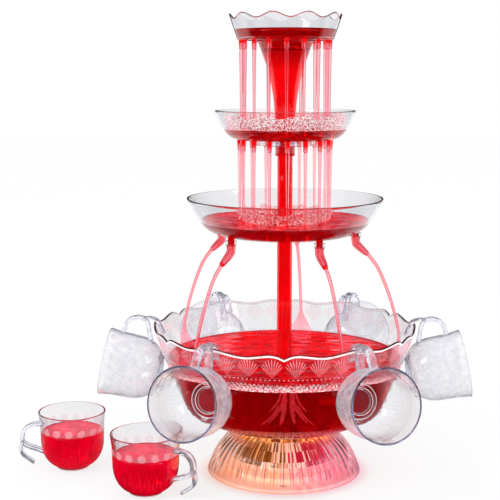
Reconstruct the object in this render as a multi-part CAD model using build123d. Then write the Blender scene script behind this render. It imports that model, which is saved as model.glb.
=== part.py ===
"""Three-tier beverage dispenser: lighted base, punch bowl, three tiers and eight hook-handled cups.

Millimetres, +Z up. The origin is on the table under the middle of the base; the front faces -Y.
Every piece is written as its own STEP file in parts/.
"""
import os
from math import cos, hypot, pi, radians, sin, tan

from build123d import *

os.makedirs("parts", exist_ok=True)

# Clearances
running_gap = 0.05
loose_gap = 0.30
seat_gap = 0.05

# Lighted base
base_profile = [(107.7, 1.5), (105.4, 9.0), (99.7, 23.0), (90.6, 38.0), (78.4, 51.0), (61.0, 62.0)]
base_wall = 3.0
flute_count = 48
flute_depths = [0.0, 0.0, 0.9, 1.2, 1.1, 0.8]
base_mouth_radius = 50.0
boss_circle = 85.0
boss_radius = 4.0
boss_top = 35.5
boss_count = 4
boss_turn = 45.0

# Base floor, feet and screws
floor_radius = 102.7
floor_bottom = 2.0
floor_top = 5.0
pad_radius = 37.0
pad_top = 7.0
foot_circle = 88.0
foot_radius = 8.0
foot_plug_radius = 4.0
foot_count = 4
floor_screw_radius = 1.5
floor_screw_head_radius = 3.2
floor_screw_head_height = 1.2
floor_screw_depth = 18.0
post_circle = 69.0
post_radius = 3.5

# Lights
board_inner = 60.0
board_outer = 78.0
board_bottom = 10.0
board_top = 11.6
led_count = 12
led_radius = 2.5
led_barrel = 3.5
reflector_top_inner = 47.0
reflector_top_outer = 53.0
reflector_top = 56.0
reflector_rim_radius = 79.0
reflector_rim_height = 27.0
reflector_wall = 1.6

# Ring that carries the bowl
seat_inner = 47.0
seat_outer = 61.0
seat_top = 66.0
seat_skirt_outer = 49.8
seat_skirt_bottom = 56.0

# Motor and its magnetic drive
can_radius = 18.0
can_bottom = 11.0
can_top = 44.0
can_neck_radius = 6.0
can_neck_top = 46.0
shaft_radius = 1.5
shaft_bottom = 15.0
shaft_top = 56.0
mount_flange_radius = 35.0
mount_flange_top = 10.0
mount_tube_wall = 3.0
mount_tube_top = 38.0
mount_bore = 8.0
mount_screw_circle = 29.0
mount_screw_radius = 1.5
mount_screw_head_radius = 3.0
mount_screw_head_height = 2.0
mount_screw_bottom = 3.5
mount_screw_count = 3
drive_radius = 24.0
drive_bottom = 50.0
drive_top = 57.0
drive_hub_radius = 5.0
drive_hub_bottom = 46.6
magnet_radius = 4.0
magnet_height = 3.0
magnet_circle = 16.0
magnet_count = 4

# Switch and cord gland at the back of the base
switch_half_width = 11.0
switch_bottom = 8.0
switch_top = 24.0
switch_back = 84.0
switch_face = 106.0
switch_slot_half_width = 7.0
switch_slot_half_height = 5.6
switch_slot_back = 92.0
rocker_pivot_y = 100.0
rocker_half_width = 6.6
rocker_half_height = 4.0
rocker_back = 95.0
rocker_reach = 107.2
rocker_waist = 105.4
rocker_pin_radius = 1.2
rocker_pin_length = 2.2
rocker_tilt = 8.0
gland_x = -34.0
gland_z = 15.0
gland_radius = 5.0
gland_flange_radius = 7.5
gland_bore = 3.2
gland_back = 84.0
gland_flange_back = 101.6
gland_face = 104.0
lead_radius = 1.2
lead_bend = 3.0
lead_run = 79.0
lead_start = 90.0

# Punch bowl
bowl_wall = 3.0
bowl_flare = 19.0
bowl_rim_mid_radius = 180.5
bowl_rim_ref = 209.5
bowl_stock_top = 216.0
bowl_shoulder = 150.0
bowl_body = [(64.0, 68.0), (98.0, 74.5), (124.0, 87.0), (143.0, 107.0), (154.5, 130.0)]
bowl_boss_bottom = 61.0
bowl_floor_top = 64.0
bowl_well_radius = 44.0
bowl_well_lip = 49.0
bowl_lobes = 6
rim_crest = 211.5
rim_side_crest = 210.0
rim_trough = 206.3
rim_notch = 204.3
rim_side_crest_at = 25.0
rim_trough_at = 14.5
rim_cut_inner = 160.0
rim_cut_outer = 200.0
rim_cut_height = 20.0

# Pump
pump_radius = 40.0
pump_wall = 2.0
pump_roof = 90.0
pump_flange_radius = 43.5
pump_flange_height = 2.0
pump_slot_count = 10
pump_slot_width = 6.0
pump_slot_bottom = 67.5
pump_slot_top = 76.0
pump_slot_cut = 8.0
pump_socket_wall = 3.2
pump_socket_top = 108.0
pin_radius = 2.0
pin_bottom = 62.0
pin_top = 85.0
impeller_radius = 24.0
impeller_bottom = 66.5
impeller_disc_top = 71.5
impeller_hub_radius = 5.5
impeller_top = 81.0
vane_count = 6
vane_thickness = 2.0
vane_sweep = 25.0

# Columns
column_radius = 10.5
column_bore = 7.5
column_over_hub = 1.5
column_collar_radius = 13.5
column_collar_height = 2.6
spigot_length = 12.0
gasket_height = 1.2
spigot_bore = 5.2
column_over_floor = 0.6
hub_wall = 2.8

# Large tier
large_body = [
    (58.0, 334.0),
    (82.0, 336.2),
    (98.0, 340.0),
    (109.0, 346.5),
    (118.0, 356.5),
    (127.5, 371.0),
    (134.2, 385.0),
]
large_rim_radius = 135.0
large_rim_rise = 2.0
large_wall = 2.6
large_hub_top = 343.5
spout_count = 5
spout_phase = 9.0
spout_circle = 100.0
spout_boss_radius = 7.5
spout_boss_bottom = 331.0

# Arc spout
spout_spigot_radius = 4.5
spout_spigot_top = 341.5
spout_body_radius = 6.0
spout_neck = 9.0
spout_tip_reach = 17.5
spout_tip_drop = 16.0
spout_tip_radius = 3.4
spout_bore = 2.4

# Middle tier
middle_body = [(67.0, 467.0), (75.5, 471.0), (82.5, 478.5), (89.5, 490.0), (95.0, 503.5)]
middle_rim_radius = 95.9
middle_rim_rise = 2.5
middle_wall = 2.4
middle_hub_bottom = 447.0
middle_skirt_radius = 40.0
middle_skirt_wall = 2.0
middle_skirt_bottom = 459.0
middle_nozzle_circle = 62.0
middle_nozzle_turn = 3.2
middle_nozzle_top_radius = 3.9
middle_nozzle_tip_radius = 2.9
middle_nozzle_length = 15.0

# Riser cone
cone_profile = [(12.8, 470.0), (14.4, 503.0), (21.8, 552.0), (38.2, 600.0)]
cone_wall = 2.2
cone_flange_radius = 42.0
cone_flange_height = 2.4

# Top tier
top_floor_bottom = 600.0
top_floor_radius = 64.7
top_rim_radius = 75.5
top_depth = 31.7
top_wave = 3.3
top_wave_count = 10
top_wave_turn = 5.0
top_stock_over = 3.0
top_wall = 2.4
top_hole_radius = 36.0
top_lip_height = 2.0
top_nozzle_circle = 59.6
top_nozzle_turn = 1.5
top_nozzle_top_radius = 3.4
top_nozzle_tip_radius = 3.1
top_nozzle_length = 12.5

# Nozzles of both rings
nozzle_count = 16
nozzle_bore = 1.8
nozzle_spigot_radius = 2.6
nozzle_spigot_over = 0.8

# Cups
cup_height = 82.0
cup_mouth_radius = 47.5
cup_wall = 2.4
cup_foot_radius = 22.5
cup_foot_height = 3.5
cup_body = [(24.5, 3.5), (32.2, 8.7), (39.5, 18.6), (43.6, 31.2), (44.7, 46.0), (45.2, 65.0)]
handle_width = 12.0
handle_bar = 6.0
handle_reach = 74.0
handle_top = 66.0
handle_bend = 22.0
notch = [(0.0, 24.5), (-0.8, 29.5), (1.7, 35.5)]
tail_bend = 17.2
tail_bend_drop = 38.4
tail_slope = 36.0
tail_length = 13.0
tail_bar = 4.6
throat_turn = 8.0
throat_corner = (-5.0, 37.5)
leg_slope = 21.0
leg_start = (-7.0, 36.6)
leg_bar = 6.5
finger_low = 25.0
finger_corner = (-6.8, 28.4)
finger_leg = -9.5
rim_seat = (-5.4, 43.2)
hang_tilt = 11.0
hang_yaws = [0.0, 0.0, 0.0, 0.0, 4.0, -4.0]
hang_swings = [0.0, 0.0, 0.0, 0.0, -9.0, 9.0]
standing_cups = [(-301.0, 0.0, 184.0), (-184.5, -99.0, -22.0)]


def on_plane(points):
    return [(r, 0, z) for r, z in points]


def turned(points):
    """Solid of revolution about Z from a closed outline of (radius, height) points."""
    return revolve(make_face(Polyline(*on_plane(points), close=True)), Axis.Z)


def inset(points, wall):
    """The same open profile moved inward by one wall thickness."""
    moved = []
    last = len(points) - 1
    for i, (r, z) in enumerate(points):
        before = points[max(i - 1, 0)]
        after = points[min(i + 1, last)]
        dr = after[0] - before[0]
        dz = after[1] - before[1]
        length = hypot(dr, dz)
        moved.append((r - wall * dz / length, z + wall * dr / length))
    return moved


def turned_shell(outer, inner, lower, upper):
    """Revolved shell: smooth outer and inner profiles, joined by straight runs of points."""
    outer_edge = Spline(*on_plane(outer))
    upper_edges = Polyline(*on_plane([outer[-1]] + upper + [inner[-1]]))
    inner_edge = Spline(*on_plane(inner[::-1]))
    lower_edges = Polyline(*on_plane([inner[0]] + lower + [outer[0]]))
    return revolve(make_face(outer_edge + upper_edges + inner_edge + lower_edges), Axis.Z)


def upright(radius, bottom, top, x=0.0, y=0.0):
    """Upright cylinder between two heights."""
    return Pos(x, y, (bottom + top) / 2) * Cylinder(radius, top - bottom)


def spread(circle, count, turn=0.0):
    """Evenly spaced (x, y) points on a circle."""
    angles = [radians(turn + 360 * i / count) for i in range(count)]
    return [(circle * cos(a), circle * sin(a)) for a in angles]


def group(solids):
    return Compound(children=solids)


def save(name, shape):
    export_step(shape, f"parts/{name}.step")


# Base shell: flutes lofted through a ring of arcs at each height of the dome
sections = []
for (radius, height), depth in zip(base_profile, flute_depths):
    step = 2 * pi / flute_count
    arcs = []
    for i in range(flute_count):
        start, middle, end = i * step, (i + 0.5) * step, (i + 1) * step
        valley = radius - depth
        arcs.append(
            ThreePointArc(
                (radius * cos(start), radius * sin(start), height),
                (valley * cos(middle), valley * sin(middle), height),
                (radius * cos(end), radius * sin(end), height),
            )
        )
    sections.append(make_face(Wire(arcs)))
dome = loft(sections)
hollow = [(r - base_wall, z) for r, z in base_profile[:-1]]
hollow_top = base_profile[-1][1] - base_wall
hollow_edges = Spline(*on_plane(hollow)) + Polyline(
    *on_plane([hollow[-1], (base_mouth_radius + base_wall, hollow_top), (0, hollow_top), (0, 0)])
)
hollow_edges += Polyline(*on_plane([(0, 0), (hollow[0][0], 0), hollow[0]]))
cavity = revolve(make_face(hollow_edges), Axis.Z)
mouth_top = base_profile[-1][1] + base_wall
base_shell = dome - cavity - upright(base_mouth_radius, hollow_top - base_wall, mouth_top)
bosses = spread(boss_circle, boss_count, boss_turn)
for x, y in bosses:
    base_shell += upright(boss_radius, floor_top, boss_top, x, y)
    base_shell -= upright(floor_screw_radius, 0, floor_screw_depth, x, y)
switch_middle = (switch_bottom + switch_top) / 2
switch_tall = switch_top - switch_bottom
window = Pos(0, switch_face, switch_middle) * Box(
    2 * (switch_half_width + loose_gap), 2 * (switch_face - switch_back), switch_tall + 2 * loose_gap
)
gland_turn = Pos(gland_x, 0, gland_z) * Rot(-90, 0, 0)
base_shell -= window
gland_hole = Cylinder(gland_radius + running_gap, 2 * (gland_face - gland_back))
base_shell -= gland_turn * Pos(0, 0, gland_face) * gland_hole
save("base_shell", base_shell)

# Floor with pad, light posts, feet and screws
base_floor = upright(floor_radius, floor_bottom, floor_top) + upright(pad_radius, floor_top, pad_top)
for x, y in spread(post_circle, boss_count):
    base_floor += upright(post_radius, floor_top, board_bottom, x, y)
feet = []
for x, y in spread(foot_circle, foot_count):
    base_floor -= upright(foot_plug_radius, 0, floor_top, x, y)
    plug = upright(foot_plug_radius, floor_bottom, floor_top, x, y)
    feet.append(upright(foot_radius, 0, floor_bottom, x, y) + plug)
floor_screws = []
for x, y in bosses:
    base_floor -= upright(floor_screw_radius + running_gap, 0, floor_top, x, y)
    head = upright(floor_screw_head_radius, floor_bottom - floor_screw_head_height, floor_bottom, x, y)
    floor_screws.append(head + upright(floor_screw_radius, floor_bottom, floor_screw_depth, x, y))
mount_screws = []
screw_points = spread(mount_screw_circle, mount_screw_count, 90)
for x, y in screw_points:
    base_floor -= upright(mount_screw_radius, mount_screw_bottom, pad_top, x, y)
    head_top = mount_flange_top + mount_screw_head_height
    head = upright(mount_screw_head_radius, mount_flange_top, head_top, x, y)
    mount_screws.append(head + upright(mount_screw_radius, mount_screw_bottom, mount_flange_top, x, y))
save("base_floor", base_floor)
save("rubber_feet", group(feet))
save("floor_screws", group(floor_screws))
save("motor_screws", group(mount_screws))

# Lights: ring board, two colours of lamp and the metallised reflector above them
save("light_board", upright(board_outer, board_bottom, board_top) - upright(board_inner, 0, board_top))
amber = []
pink = []
for x, y in spread(post_circle, led_count, 180 / led_count):
    lamp = upright(led_radius, board_top, board_top + led_barrel, x, y)
    lamp += Pos(x, y, board_top + led_barrel) * Sphere(led_radius)
    (amber if x < 0 else pink).append(lamp)
save("amber_lamps", group(amber))
save("pink_lamps", group(pink))
save(
    "light_reflector",
    turned(
        [
            (reflector_top_inner, reflector_top),
            (reflector_top_outer, reflector_top),
            (reflector_rim_radius, reflector_rim_height + reflector_wall),
            (reflector_rim_radius, reflector_rim_height),
            (reflector_rim_radius - reflector_wall, reflector_rim_height),
            (reflector_top_outer - reflector_wall, reflector_top - reflector_wall),
            (reflector_top_inner, reflector_top - reflector_wall),
        ]
    ),
)
save(
    "bowl_seat_ring",
    turned(
        [
            (seat_inner, seat_skirt_bottom),
            (seat_skirt_outer, seat_skirt_bottom),
            (seat_skirt_outer, base_profile[-1][1]),
            (seat_outer, base_profile[-1][1]),
            (seat_outer, seat_top),
            (seat_inner, seat_top),
        ]
    ),
)

# Motor, mount and magnetic drive
motor = upright(can_radius, can_bottom, can_top) + upright(can_neck_radius, can_top, can_neck_top)
motor -= upright(shaft_radius + running_gap, shaft_bottom - running_gap, can_neck_top)
save("motor_can", motor)
mount_inner = can_radius + running_gap
mount = turned(
    [
        (mount_bore, pad_top),
        (mount_flange_radius, pad_top),
        (mount_flange_radius, mount_flange_top),
        (mount_inner + mount_tube_wall, mount_flange_top),
        (mount_inner + mount_tube_wall, mount_tube_top),
        (mount_inner, mount_tube_top),
        (mount_inner, can_bottom),
        (mount_bore, can_bottom),
    ]
)
for x, y in screw_points:
    mount -= upright(mount_screw_radius + running_gap, pad_top, mount_flange_top, x, y)
save("motor_mount", mount)
save("motor_shaft", upright(shaft_radius, shaft_bottom, shaft_top))
wheel = upright(drive_radius, drive_bottom, drive_top)
wheel += upright(drive_hub_radius, drive_hub_bottom, drive_bottom)
wheel -= upright(shaft_radius, drive_hub_bottom, shaft_top)
drive_magnets = []
for x, y in spread(magnet_circle, magnet_count):
    magnet = upright(magnet_radius, drive_top - magnet_height, drive_top, x, y)
    wheel -= magnet
    drive_magnets.append(magnet)
save("drive_wheel", wheel)
save("drive_magnets", group(drive_magnets))

# Switch, cord gland and the leads inside the base
housing = Pos(0, (switch_back + switch_face) / 2, switch_middle) * Box(
    2 * switch_half_width, switch_face - switch_back, switch_tall
)
housing -= Pos(0, switch_face, switch_middle) * Box(
    2 * switch_slot_half_width, 2 * (switch_face - switch_slot_back), 2 * switch_slot_half_height
)
pivot = Pos(0, rocker_pivot_y, switch_middle) * Rot(0, 90, 0)
pin_reach = 2 * (rocker_half_width + rocker_pin_length)
housing -= pivot * Cylinder(rocker_pin_radius + running_gap, pin_reach + 2 * running_gap)
save("switch_housing", housing)
rocker_outline = Polyline(
    (0, rocker_back, switch_middle - rocker_half_height),
    (0, rocker_reach, switch_middle - rocker_half_height),
    (0, rocker_waist, switch_middle),
    (0, rocker_reach, switch_middle + rocker_half_height),
    (0, rocker_back, switch_middle + rocker_half_height),
    close=True,
)
rocker = extrude(make_face(rocker_outline), rocker_half_width, dir=(1, 0, 0), both=True)
rocker += pivot * Cylinder(rocker_pin_radius, pin_reach)
rocker_home = Pos(0, rocker_pivot_y, switch_middle)
save("switch_rocker", rocker_home * Rot(rocker_tilt, 0, 0) * rocker_home.inverse() * rocker)
gland_middle = (gland_back + gland_face) / 2
gland = gland_turn * Pos(0, 0, gland_middle) * Cylinder(gland_radius, gland_face - gland_back)
gland += gland_turn * Pos(0, 0, (gland_flange_back + gland_face) / 2) * Cylinder(
    gland_flange_radius, gland_face - gland_flange_back
)
gland -= gland_turn * Pos(0, 0, gland_face) * Cylinder(gland_bore, 2 * (gland_face - gland_back))
save("cord_gland", gland)
supply_path = FilletPolyline(
    (gland_x, lead_start, gland_z),
    (gland_x, lead_run, gland_z),
    (-switch_slot_half_width, lead_run, gland_z),
    (-switch_slot_half_width, switch_back, gland_z),
    radius=lead_bend,
)
lead_end = can_radius + running_gap + mount_tube_wall
motor_path = Line((0, switch_back, switch_middle), (0, lead_end, switch_middle))
leads = []
for path in (supply_path, motor_path):
    leads.append(sweep(Plane(origin=path @ 0, z_dir=path % 0) * Circle(lead_radius), path=path))
save("supply_leads", group(leads))

# Punch bowl with its scalloped rim
flare = tan(radians(bowl_flare))
half_wall = bowl_wall / 2 / cos(radians(bowl_flare))


def bowl_mid(z):
    return bowl_rim_mid_radius - (bowl_rim_ref - z) * flare


bowl_outer = bowl_body + [(bowl_mid(bowl_shoulder) + half_wall, bowl_shoulder)]
bowl_inner = inset(bowl_body, bowl_wall) + [(bowl_mid(bowl_shoulder) - half_wall, bowl_shoulder)]
boss_radius_bowl = seat_inner - loose_gap
foot_height = seat_top + seat_gap
bowl = turned_shell(
    bowl_outer,
    bowl_inner,
    [
        (bowl_well_lip, bowl_inner[0][1]),
        (bowl_well_radius, bowl_floor_top),
        (0, bowl_floor_top),
        (0, bowl_boss_bottom),
        (boss_radius_bowl, bowl_boss_bottom),
        (boss_radius_bowl, foot_height),
        (seat_outer, foot_height),
    ],
    [
        (bowl_mid(bowl_stock_top) + half_wall, bowl_stock_top),
        (bowl_mid(bowl_stock_top) - half_wall, bowl_stock_top),
    ],
)
lobe = 360 / bowl_lobes
rim_curve = [
    (-lobe / 2, rim_notch),
    (-rim_side_crest_at, rim_side_crest),
    (-rim_trough_at, rim_trough),
    (0, rim_crest),
    (rim_trough_at, rim_trough),
    (rim_side_crest_at, rim_side_crest),
    (lobe / 2, rim_notch),
]


def rim_edge(radius, turn):
    points = [(radius * cos(radians(turn + a)), radius * sin(radians(turn + a)), z) for a, z in rim_curve]
    return Spline(*points)


for i in range(bowl_lobes):
    inner_edge = rim_edge(rim_cut_inner, i * lobe)
    outer_edge = rim_edge(rim_cut_outer, i * lobe)
    bowl -= extrude(Face.make_surface_from_curves(inner_edge, outer_edge), rim_cut_height, dir=(0, 0, 1))
bowl -= upright(pin_radius, pin_bottom, bowl_floor_top)
save("punch_bowl", bowl)

# Pump: housing with intake slots, fixed pin, impeller with its magnets
pump = turned(
    [
        (pump_radius - pump_wall, bowl_floor_top),
        (pump_flange_radius, bowl_floor_top),
        (pump_flange_radius, bowl_floor_top + pump_flange_height),
        (pump_radius, bowl_floor_top + pump_flange_height),
        (pump_radius, pump_roof),
        (column_radius + loose_gap + pump_socket_wall, pump_roof),
        (column_radius + loose_gap + pump_socket_wall, pump_socket_top),
        (column_radius + loose_gap, pump_socket_top),
        (column_radius + loose_gap, pump_roof),
        (column_bore, pump_roof),
        (column_bore, pump_roof - pump_wall),
        (pump_radius - pump_wall, pump_roof - pump_wall),
    ]
)
slot_middle = (pump_slot_bottom + pump_slot_top) / 2
slot_height = pump_slot_top - pump_slot_bottom
for i in range(pump_slot_count):
    slot = Pos(pump_radius, 0, slot_middle) * Box(pump_slot_cut, pump_slot_width, slot_height)
    pump -= Rot(0, 0, 360 * i / pump_slot_count) * slot
save("pump_housing", pump)
save("impeller_pin", upright(pin_radius, pin_bottom, pin_top))
impeller = upright(impeller_radius, impeller_bottom, impeller_disc_top)
impeller += upright(impeller_hub_radius, impeller_disc_top, impeller_top)
vane_length = impeller_radius - impeller_hub_radius / 2 - vane_thickness
for i in range(vane_count):
    vane = Pos(vane_length / 2, 0, (impeller_disc_top + impeller_top) / 2) * Box(
        vane_length, vane_thickness, impeller_top - impeller_disc_top
    )
    root = Pos(impeller_hub_radius / 2, 0, 0) * Rot(0, 0, vane_sweep)
    impeller += Rot(0, 0, 360 * i / vane_count) * (root * vane)
impeller -= upright(pin_radius + running_gap, impeller_bottom, impeller_top)
impeller_magnets = []
for x, y in spread(magnet_circle, magnet_count):
    magnet = upright(magnet_radius, impeller_bottom, impeller_bottom + magnet_height, x, y)
    impeller -= magnet
    impeller_magnets.append(magnet)
save("impeller", impeller)
save("impeller_magnets", group(impeller_magnets))

# Columns, with a flat gasket under each
large_floor = large_body[0][1]
middle_floor = middle_body[0][1]
column_joint = large_hub_top + column_over_hub
column_top = middle_floor + middle_wall + column_over_floor
gasket_tops = [bottom + gasket_height for bottom in (pump_roof, column_joint, column_top)]
for name, top in zip(("pump_gasket", "column_gasket", "cone_gasket"), gasket_tops):
    bottom = top - gasket_height
    save(name, upright(column_radius, bottom, top) - upright(column_bore, bottom, top))
lower_column = upright(column_radius, gasket_tops[0] + seat_gap, column_joint)
lower_column += upright(column_collar_radius, large_floor - column_collar_height, large_floor)
lower_column -= upright(column_bore, pump_roof, column_joint)
save("lower_column", lower_column)
spigot_radius = column_bore - loose_gap
upper_column = upright(column_radius, gasket_tops[1] + seat_gap, column_top)
upper_column += upright(column_collar_radius, middle_hub_bottom - column_collar_height, middle_hub_bottom)
upper_column -= upright(column_bore, gasket_tops[1] + hub_wall, column_top)
upper_column += upright(spigot_radius, column_joint - spigot_length, gasket_tops[1] + hub_wall)
upper_column -= upright(spigot_bore, column_joint - spigot_length, gasket_tops[1] + hub_wall)
save("upper_column", upper_column)

# Large tier with five swivel sockets
hub_bore = column_radius + running_gap
large_rim = large_body[-1][1] + large_rim_rise
large_inner = inset(large_body, large_wall)
large_tier = turned_shell(
    large_body,
    large_inner,
    [
        (hub_bore + hub_wall, large_inner[0][1]),
        (hub_bore + hub_wall, large_hub_top),
        (hub_bore, large_hub_top),
        (hub_bore, large_floor),
    ],
    [(large_rim_radius, large_rim), (large_rim_radius - large_wall, large_rim)],
)
dish_edges = Spline(*on_plane(large_inner)) + Polyline(
    *on_plane([large_inner[-1], (0, large_inner[-1][1]), (0, large_inner[0][1]), large_inner[0]])
)
dish_room = revolve(make_face(dish_edges), Axis.Z)
spout_points = spread(spout_circle, spout_count, spout_phase)
for x, y in spout_points:
    large_tier += upright(spout_boss_radius, spout_boss_bottom, spout_spigot_top, x, y) - dish_room
for x, y in spout_points:
    large_tier -= upright(spout_spigot_radius + running_gap, spout_boss_bottom, large_hub_top, x, y)
save("large_tier", large_tier)

# Arc spouts, built pointing along +X and turned to their sockets
tip_length = hypot(spout_tip_reach, spout_tip_drop)
spout_elbow_height = spout_boss_bottom - spout_neck
tip_way = (spout_tip_reach, 0, -spout_tip_drop)
elbow = Plane(origin=(0, 0, spout_elbow_height), x_dir=(0, 1, 0), z_dir=tip_way)
spout = upright(spout_body_radius, spout_elbow_height, spout_boss_bottom - loose_gap)
spout += upright(spout_spigot_radius, spout_boss_bottom - loose_gap, spout_spigot_top)
spout += Pos(0, 0, spout_elbow_height) * Sphere(spout_body_radius)
spout += elbow * Pos(0, 0, tip_length / 2) * Cone(spout_body_radius, spout_tip_radius, tip_length)
spout -= upright(spout_bore, spout_elbow_height, spout_spigot_top)
spout -= elbow * Pos(0, 0, tip_length / 2) * Cylinder(spout_bore, tip_length)
spout -= Pos(0, 0, spout_elbow_height) * Sphere(spout_bore)
for i, (x, y) in enumerate(spout_points):
    turn = spout_phase + 360 * i / spout_count
    save(f"arc_spout_{i + 1}", Pos(x, y, 0) * Rot(0, 0, turn) * spout)


def nozzle_ring(tier, floor, floor_wall, circle, turn, top_radius, tip_radius, length):
    """Drill a ring of holes in a tier floor and return the tier with its push-in nozzles."""
    nozzles = []
    spigot_top = floor + floor_wall + nozzle_spigot_over
    outline = [
        (nozzle_bore, floor - length),
        (tip_radius, floor - length),
        (top_radius, floor),
        (nozzle_spigot_radius, floor),
        (nozzle_spigot_radius, spigot_top),
        (nozzle_bore, spigot_top),
    ]
    nozzle = turned(outline)
    for x, y in spread(circle, nozzle_count, turn - 90):
        tier -= upright(nozzle_spigot_radius + running_gap, floor, floor + 2 * floor_wall, x, y)
        nozzles.append(Pos(x, y, 0) * nozzle)
    return tier, group(nozzles)


# Middle tier with its skirt ring
middle_rim = middle_body[-1][1] + middle_rim_rise
middle_inner = inset(middle_body, middle_wall)
middle_inner[0] = (middle_body[0][0], middle_floor + middle_wall)
middle_tier = turned_shell(
    middle_body,
    middle_inner,
    [
        (hub_bore, middle_floor + middle_wall),
        (hub_bore, middle_hub_bottom),
        (hub_bore + hub_wall, middle_hub_bottom),
        (hub_bore + hub_wall, middle_floor),
        (middle_skirt_radius - middle_skirt_wall, middle_floor),
        (middle_skirt_radius - middle_skirt_wall, middle_skirt_bottom),
        (middle_skirt_radius, middle_skirt_bottom),
        (middle_skirt_radius, middle_floor),
    ],
    [(middle_rim_radius, middle_rim), (middle_rim_radius - middle_wall, middle_rim)],
)
middle_tier, middle_nozzles = nozzle_ring(
    middle_tier,
    middle_floor,
    middle_wall,
    middle_nozzle_circle,
    middle_nozzle_turn,
    middle_nozzle_top_radius,
    middle_nozzle_tip_radius,
    middle_nozzle_length,
)
save("middle_tier", middle_tier)
save("middle_nozzles", middle_nozzles)

# Riser cone: plug, tapering funnel and the flange that carries the top tier
cone_foot = gasket_tops[2] + seat_gap
cone_outer = [(cone_profile[0][0], cone_foot)] + cone_profile[1:]
cone_inner = [(r - cone_wall, z) for r, z in cone_outer]
cone_inner[0] = (cone_inner[0][0], cone_foot + cone_wall)
cone = turned(
    [
        (spigot_bore, column_top - spigot_length),
        (spigot_radius, column_top - spigot_length),
        (spigot_radius, cone_foot),
        *cone_outer[:-1],
        (cone_outer[-1][0] - cone_wall / 2, top_floor_bottom - cone_flange_height),
        (cone_flange_radius, top_floor_bottom - cone_flange_height),
        (cone_flange_radius, top_floor_bottom),
        *cone_inner[::-1],
        (spigot_bore, cone_foot + cone_wall),
    ]
)
save("riser_cone", cone)

# Top tier: flared cup with a waved rim
top_rim_mid = top_floor_bottom + top_depth
top_stock = top_rim_mid + top_wave + top_stock_over
top_flare = (top_rim_radius - top_floor_radius) / (top_rim_mid - top_floor_bottom)
top_outer = top_floor_radius + (top_stock - top_floor_bottom) * top_flare
top_floor_top = top_floor_bottom + top_wall
ring_inner = cone_flange_radius + loose_gap
top_tier = turned(
    [
        (top_hole_radius, top_floor_bottom),
        (ring_inner, top_floor_bottom),
        (ring_inner, top_floor_bottom - cone_flange_height),
        (ring_inner + top_wall, top_floor_bottom - cone_flange_height),
        (ring_inner + top_wall, top_floor_bottom),
        (top_floor_radius, top_floor_bottom),
        (top_outer, top_stock),
        (top_outer - top_wall, top_stock),
        (top_floor_radius - top_wall + top_wall * top_flare, top_floor_top),
        (top_hole_radius + top_wall, top_floor_top),
        (top_hole_radius + top_wall, top_floor_top + top_lip_height),
        (top_hole_radius, top_floor_top + top_lip_height),
    ]
)
top_tier, top_nozzles = nozzle_ring(
    top_tier,
    top_floor_bottom,
    top_wall,
    top_nozzle_circle,
    top_nozzle_turn,
    top_nozzle_top_radius,
    top_nozzle_tip_radius,
    top_nozzle_length,
)


def wave_edge(radius):
    steps = top_wave_count * 4
    points = []
    for i in range(steps):
        angle = radians(360 * i / steps + top_wave_turn - 90)
        height = top_rim_mid - top_wave * cos(top_wave_count * radians(360 * i / steps))
        points.append((radius * cos(angle), radius * sin(angle), height))
    return Spline(*points, periodic=True)


wave_inner = wave_edge(top_floor_radius - 2 * top_wall)
wave_outer = wave_edge(top_rim_radius + 4 * top_wall)
wave_face = Face.make_surface_from_curves(wave_inner, wave_outer)
top_tier -= extrude(wave_face, top_stock - top_floor_top, dir=(0, 0, 1))
save("top_tier", top_tier)
save("top_nozzles", top_nozzles)

# Cup with finger loop and rim hook, moulded in one
cup_inner = inset(cup_body, cup_wall)
cup_inner[0] = (cup_foot_radius, cup_foot_height + cup_wall)
cup_inner_top = cup_mouth_radius - cup_wall
cup_edges = Spline(*on_plane(cup_body)) + Polyline(
    *on_plane(
        [
            cup_body[-1],
            (cup_mouth_radius, cup_height),
            (0, cup_height),
            (0, 0),
            (cup_foot_radius, 0),
            (cup_foot_radius, cup_foot_height / 2),
            cup_body[0],
        ]
    )
)
cup_room = Spline(*on_plane(cup_inner)) + Polyline(
    *on_plane(
        [cup_inner[-1], (cup_inner_top, cup_height), (0, cup_height), (0, cup_inner[0][1]), cup_inner[0]]
    )
)
cup_stock = revolve(make_face(cup_edges), Axis.Z)
cup_cavity = revolve(make_face(cup_room), Axis.Z)

def on_handle(place):
    """A point in the upright cup, by how far it lies past the loop's outer side and below its top."""
    past, below = place
    return (handle_reach + past, 0, handle_top - below)


tail_turn = radians(tail_slope)
bend_x = handle_reach + notch[-1][0] - tail_bend
bend_height = handle_top - tail_bend_drop
bend_inner = tail_bend - tail_bar


def on_bend(radius, turn):
    """A point on the bend between loop and tail, at an angle below level."""
    return (bend_x + radius * cos(turn), 0, bend_height - radius * sin(turn))


def along_tail(point, distance):
    return (point[0] - distance * cos(tail_turn), 0, point[2] - distance * sin(tail_turn))


def leg_edge(x, over=0.0):
    """A point on the lower edge of the leg, or above it by a thickness."""
    start_x, _, start_z = on_handle(leg_start)
    rise = over / cos(radians(leg_slope)) - (start_x - x) * tan(radians(leg_slope))
    return (x, 0, start_z + rise)


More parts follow.
